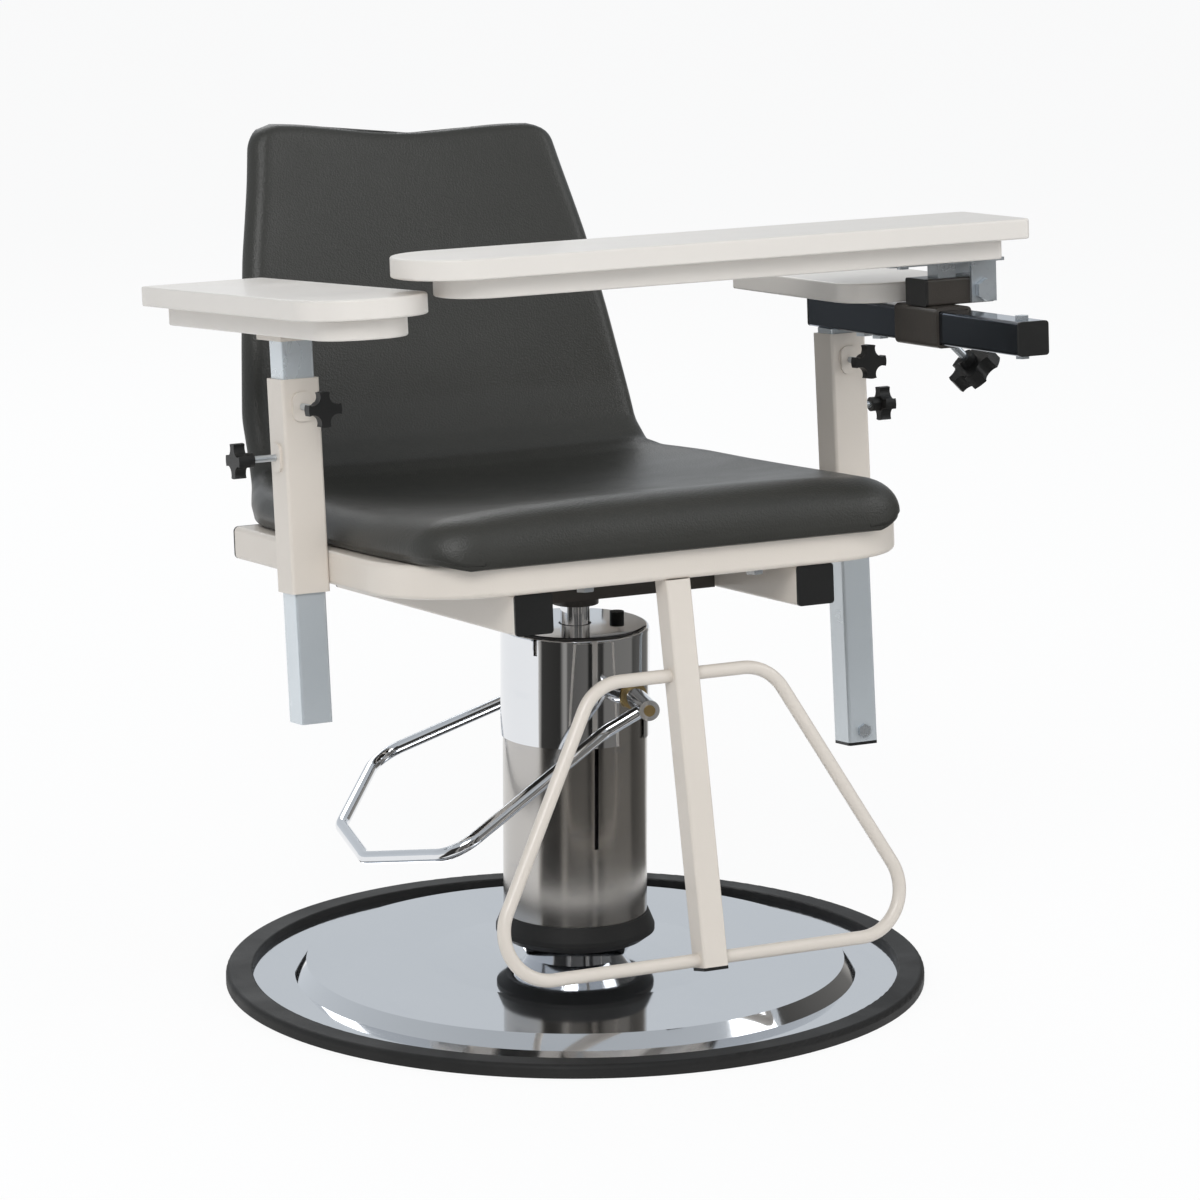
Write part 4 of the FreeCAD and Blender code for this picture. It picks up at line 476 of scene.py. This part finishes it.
def plain_stage():
    """White floor that keeps a soft shadow: part plain white for what looks at it, part lit surface."""
    signs = np.array([(-1, -1, 0), (1, -1, 0), (1, 1, 0), (-1, 1, 0)])
    material = bpy.data.materials.new("stage_floor")
    tree = empty_tree(material)
    lit = add_node(tree, "BsdfDiffuse", Color=(0.92, 0.92, 0.92, 1))
    glow = add_node(tree, "Emission", Color=(1, 1, 1, 1), Strength=1.0)
    rays = add_node(tree, "LightPath").outputs
    looks = add_sum(tree, "ADD", rays["Is Camera Ray"], rays["Is Glossy Ray"], clamp=True)
    looks = add_sum(tree, "ADD", looks, rays["Is Transmission Ray"], clamp=True)
    seen = add_sum(tree, "MULTIPLY", looks, FLOOR_WHITE)
    mix = add_node(tree, "MixShader", _0=seen, _1=lit.outputs[0], _2=glow.outputs[0])
    add_node(tree, "OutputMaterial", Surface=mix.outputs[0])
    corners = signs * FLOOR_REACH - (0, 0, FLOOR_GAP)
    mesh_piece("stage_floor", corners, [(0, 1, 2, 3)], material, smooth=False)


# Card that stands round the front and glows in dark and bright bands. Only bright metal sees it, so its glow
# is painted reflections on the metal. Its values: where its floor ring starts, how far off and how high it
# stands, its lift off the floor, its points along the arc, its colour at full brightness and its middle in
# degrees. Its bands are degrees from that middle, and how bright it is there.
CARD_START = 0.42
CARD_RADIUS = 1.5
CARD_HEIGHT = 0.95
CARD_LIFT = 0.002
CARD_POINTS = 97
CARD_TINT = np.array([1.0, 0.965, 0.91])
CARD_MIDDLE = -116.0
CARD_BANDS = [
    (-56, 0.60), (-51, 0.045), (-22, 0.03), (-17, 0.30), (-13, 0.32), (-11, 0.10), (18, 0.13), (21, 0.015),
    (26, 0.02), (28, 0.32), (33, 0.30), (35, 0.04), (42, 0.03), (45, 0.17), (95, 0.19), (98, 0.07),
    (112, 0.10), (140, 0.16), (150, 0.45),
]
FULL_TURN = 360


def card_material():
    """Painted reflections: glow in bands round the column, read from the angle of a point about the card's
    middle.
    """
    material = bpy.data.materials.new("painted_reflection_card")
    tree = empty_tree(material)
    place = add_node(tree, "TexCoord").outputs["Object"]
    turned = add_node(tree, "Mapping", Vector=place, Rotation=(0, 0, -math.radians(CARD_MIDDLE)))
    split = add_node(tree, "SeparateXYZ", Vector=turned.outputs[0]).outputs
    around = add_sum(tree, "ARCTAN2", split[1], split[0])
    bands = add_node(tree, "ValToRGB", Fac=add_span(tree, around, (-math.pi, math.pi), (0.0, 1.0)))
    stops = bands.color_ramp.elements
    levels = [(0.5 + turn / FULL_TURN, (*(level * CARD_TINT), 1)) for turn, level in CARD_BANDS]
    for stop, (position, colour) in zip(stops, (levels[0], levels[-1])):
        stop.position = position
        stop.color = colour
    for position, colour in levels[1:-1]:
        stops.new(position).color = colour
    glow = add_node(tree, "Emission", Color=bands.outputs[0], Strength=1.0)
    add_node(tree, "OutputMaterial", Surface=glow.outputs[0])
    return material


def painted_reflection_card():
    """Card bent round the front of the stage, seen by bright metal alone as painted reflections: a flat
    ring, then a standing arc.

    A point is (radius * cos, radius * sin, height) of its angle, with three pairs of radius and height.
    """
    angles = np.radians(CARD_MIDDLE + np.linspace(CARD_BANDS[0][0], CARD_BANDS[-1][0], CARD_POINTS))
    radii = np.array([CARD_START, CARD_RADIUS, CARD_RADIUS])
    heights = np.array([CARD_LIFT, CARD_LIFT, CARD_HEIGHT])
    points = np.stack([np.cos(angles)[:, None] * radii, np.sin(angles)[:, None] * radii,
                       np.ones(CARD_POINTS)[:, None] * heights], axis=-1)
    faces = grid_faces(CARD_POINTS, len(radii), False)
    card = mesh_piece("painted_reflection_card", points.reshape(-1, 3), faces, card_material())
    # Seen by glossy rays alone, so its glow shows only as painted reflections in the metal
    card.visible_camera = False
    card.visible_diffuse = False
    card.visible_shadow = False


# World: how bright it is at the horizon and overhead, the height of the change, and its colour
SKY_LEVELS = (0.74, 0.50)
SKY_SPAN = (0.0, 0.9)
SKY_COLOUR = (0.90, 0.95, 1.0, 1)


def studio_world():
    """World: white to the camera; to everything else pale and slightly blue, brighter low down."""
    world = bpy.data.worlds.new("studio")
    bpy.context.scene.world = world
    tree = empty_tree(world)
    toward = add_node(tree, "TexCoord").outputs["Generated"]
    height = add_node(tree, "SeparateXYZ", Vector=toward).outputs[2]
    level = add_span(tree, height, SKY_SPAN, SKY_LEVELS)
    room = add_node(tree, "Background", Color=SKY_COLOUR, Strength=level)
    white = add_node(tree, "Background", Color=(1, 1, 1, 1), Strength=1.0)
    rays = add_node(tree, "LightPath").outputs
    mix = add_node(tree, "MixShader", _0=rays["Is Camera Ray"], _1=room.outputs[0], _2=white.outputs[0])
    add_node(tree, "OutputWorld", Surface=mix.outputs[0])


# Lamps: name, place, aim, size and power in watts
LAMPS = [
    ("key_light", (-2.4, -3.0, 3.4), (0, 0, 0.5), 2.2, 100.0),
    ("fill_light", (3.2, -2.2, 2.2), (0, 0, 0.5), 2.4, 42.0),
    ("back_light", (0.6, 3.2, 2.8), (0, 0, 0.6), 2.0, 35.0),
]


def soft_box(name, place, aim, size, power):
    """Square area lamp that faces its aim."""
    data = bpy.data.lights.new(name, "AREA")
    data.energy = power
    data.size = size
    lamp = bpy.data.objects.new(name, data)
    bpy.context.scene.collection.objects.link(lamp)
    lamp.location = place
    lamp.rotation_euler = (Vector(aim) - Vector(place)).to_track_quat("-Z", "Y").to_euler()


# Camera solved from the photograph: 5 m from the column and 1.468 m up, looking down and to one side
CAMERA_PLACE = (-2.192, -4.494, 1.4682)
CAMERA_DOWN = 12.352
CAMERA_ASIDE = 26.2775
CAMERA_LENS = 159.85
CAMERA_SENSOR = 36.0


def photo_camera():
    """Level camera turned down by CAMERA_DOWN and then about the upright by CAMERA_ASIDE degrees."""
    data = bpy.data.cameras.new("photo")
    data.sensor_width = CAMERA_SENSOR
    data.lens = CAMERA_LENS
    camera = bpy.data.objects.new("photo", data)
    bpy.context.scene.collection.objects.link(camera)
    camera.location = CAMERA_PLACE
    camera.rotation_euler = Euler((math.radians(90 - CAMERA_DOWN), 0, -math.radians(CAMERA_ASIDE)), "XYZ")
    bpy.context.scene.camera = camera


finish_nodes()
seat_padding()
plain_stage()
painted_reflection_card()
studio_world()
for lamp_values in LAMPS:
    soft_box(*lamp_values)
photo_camera()
bpy.context.scene.view_settings.view_transform = "Standard"
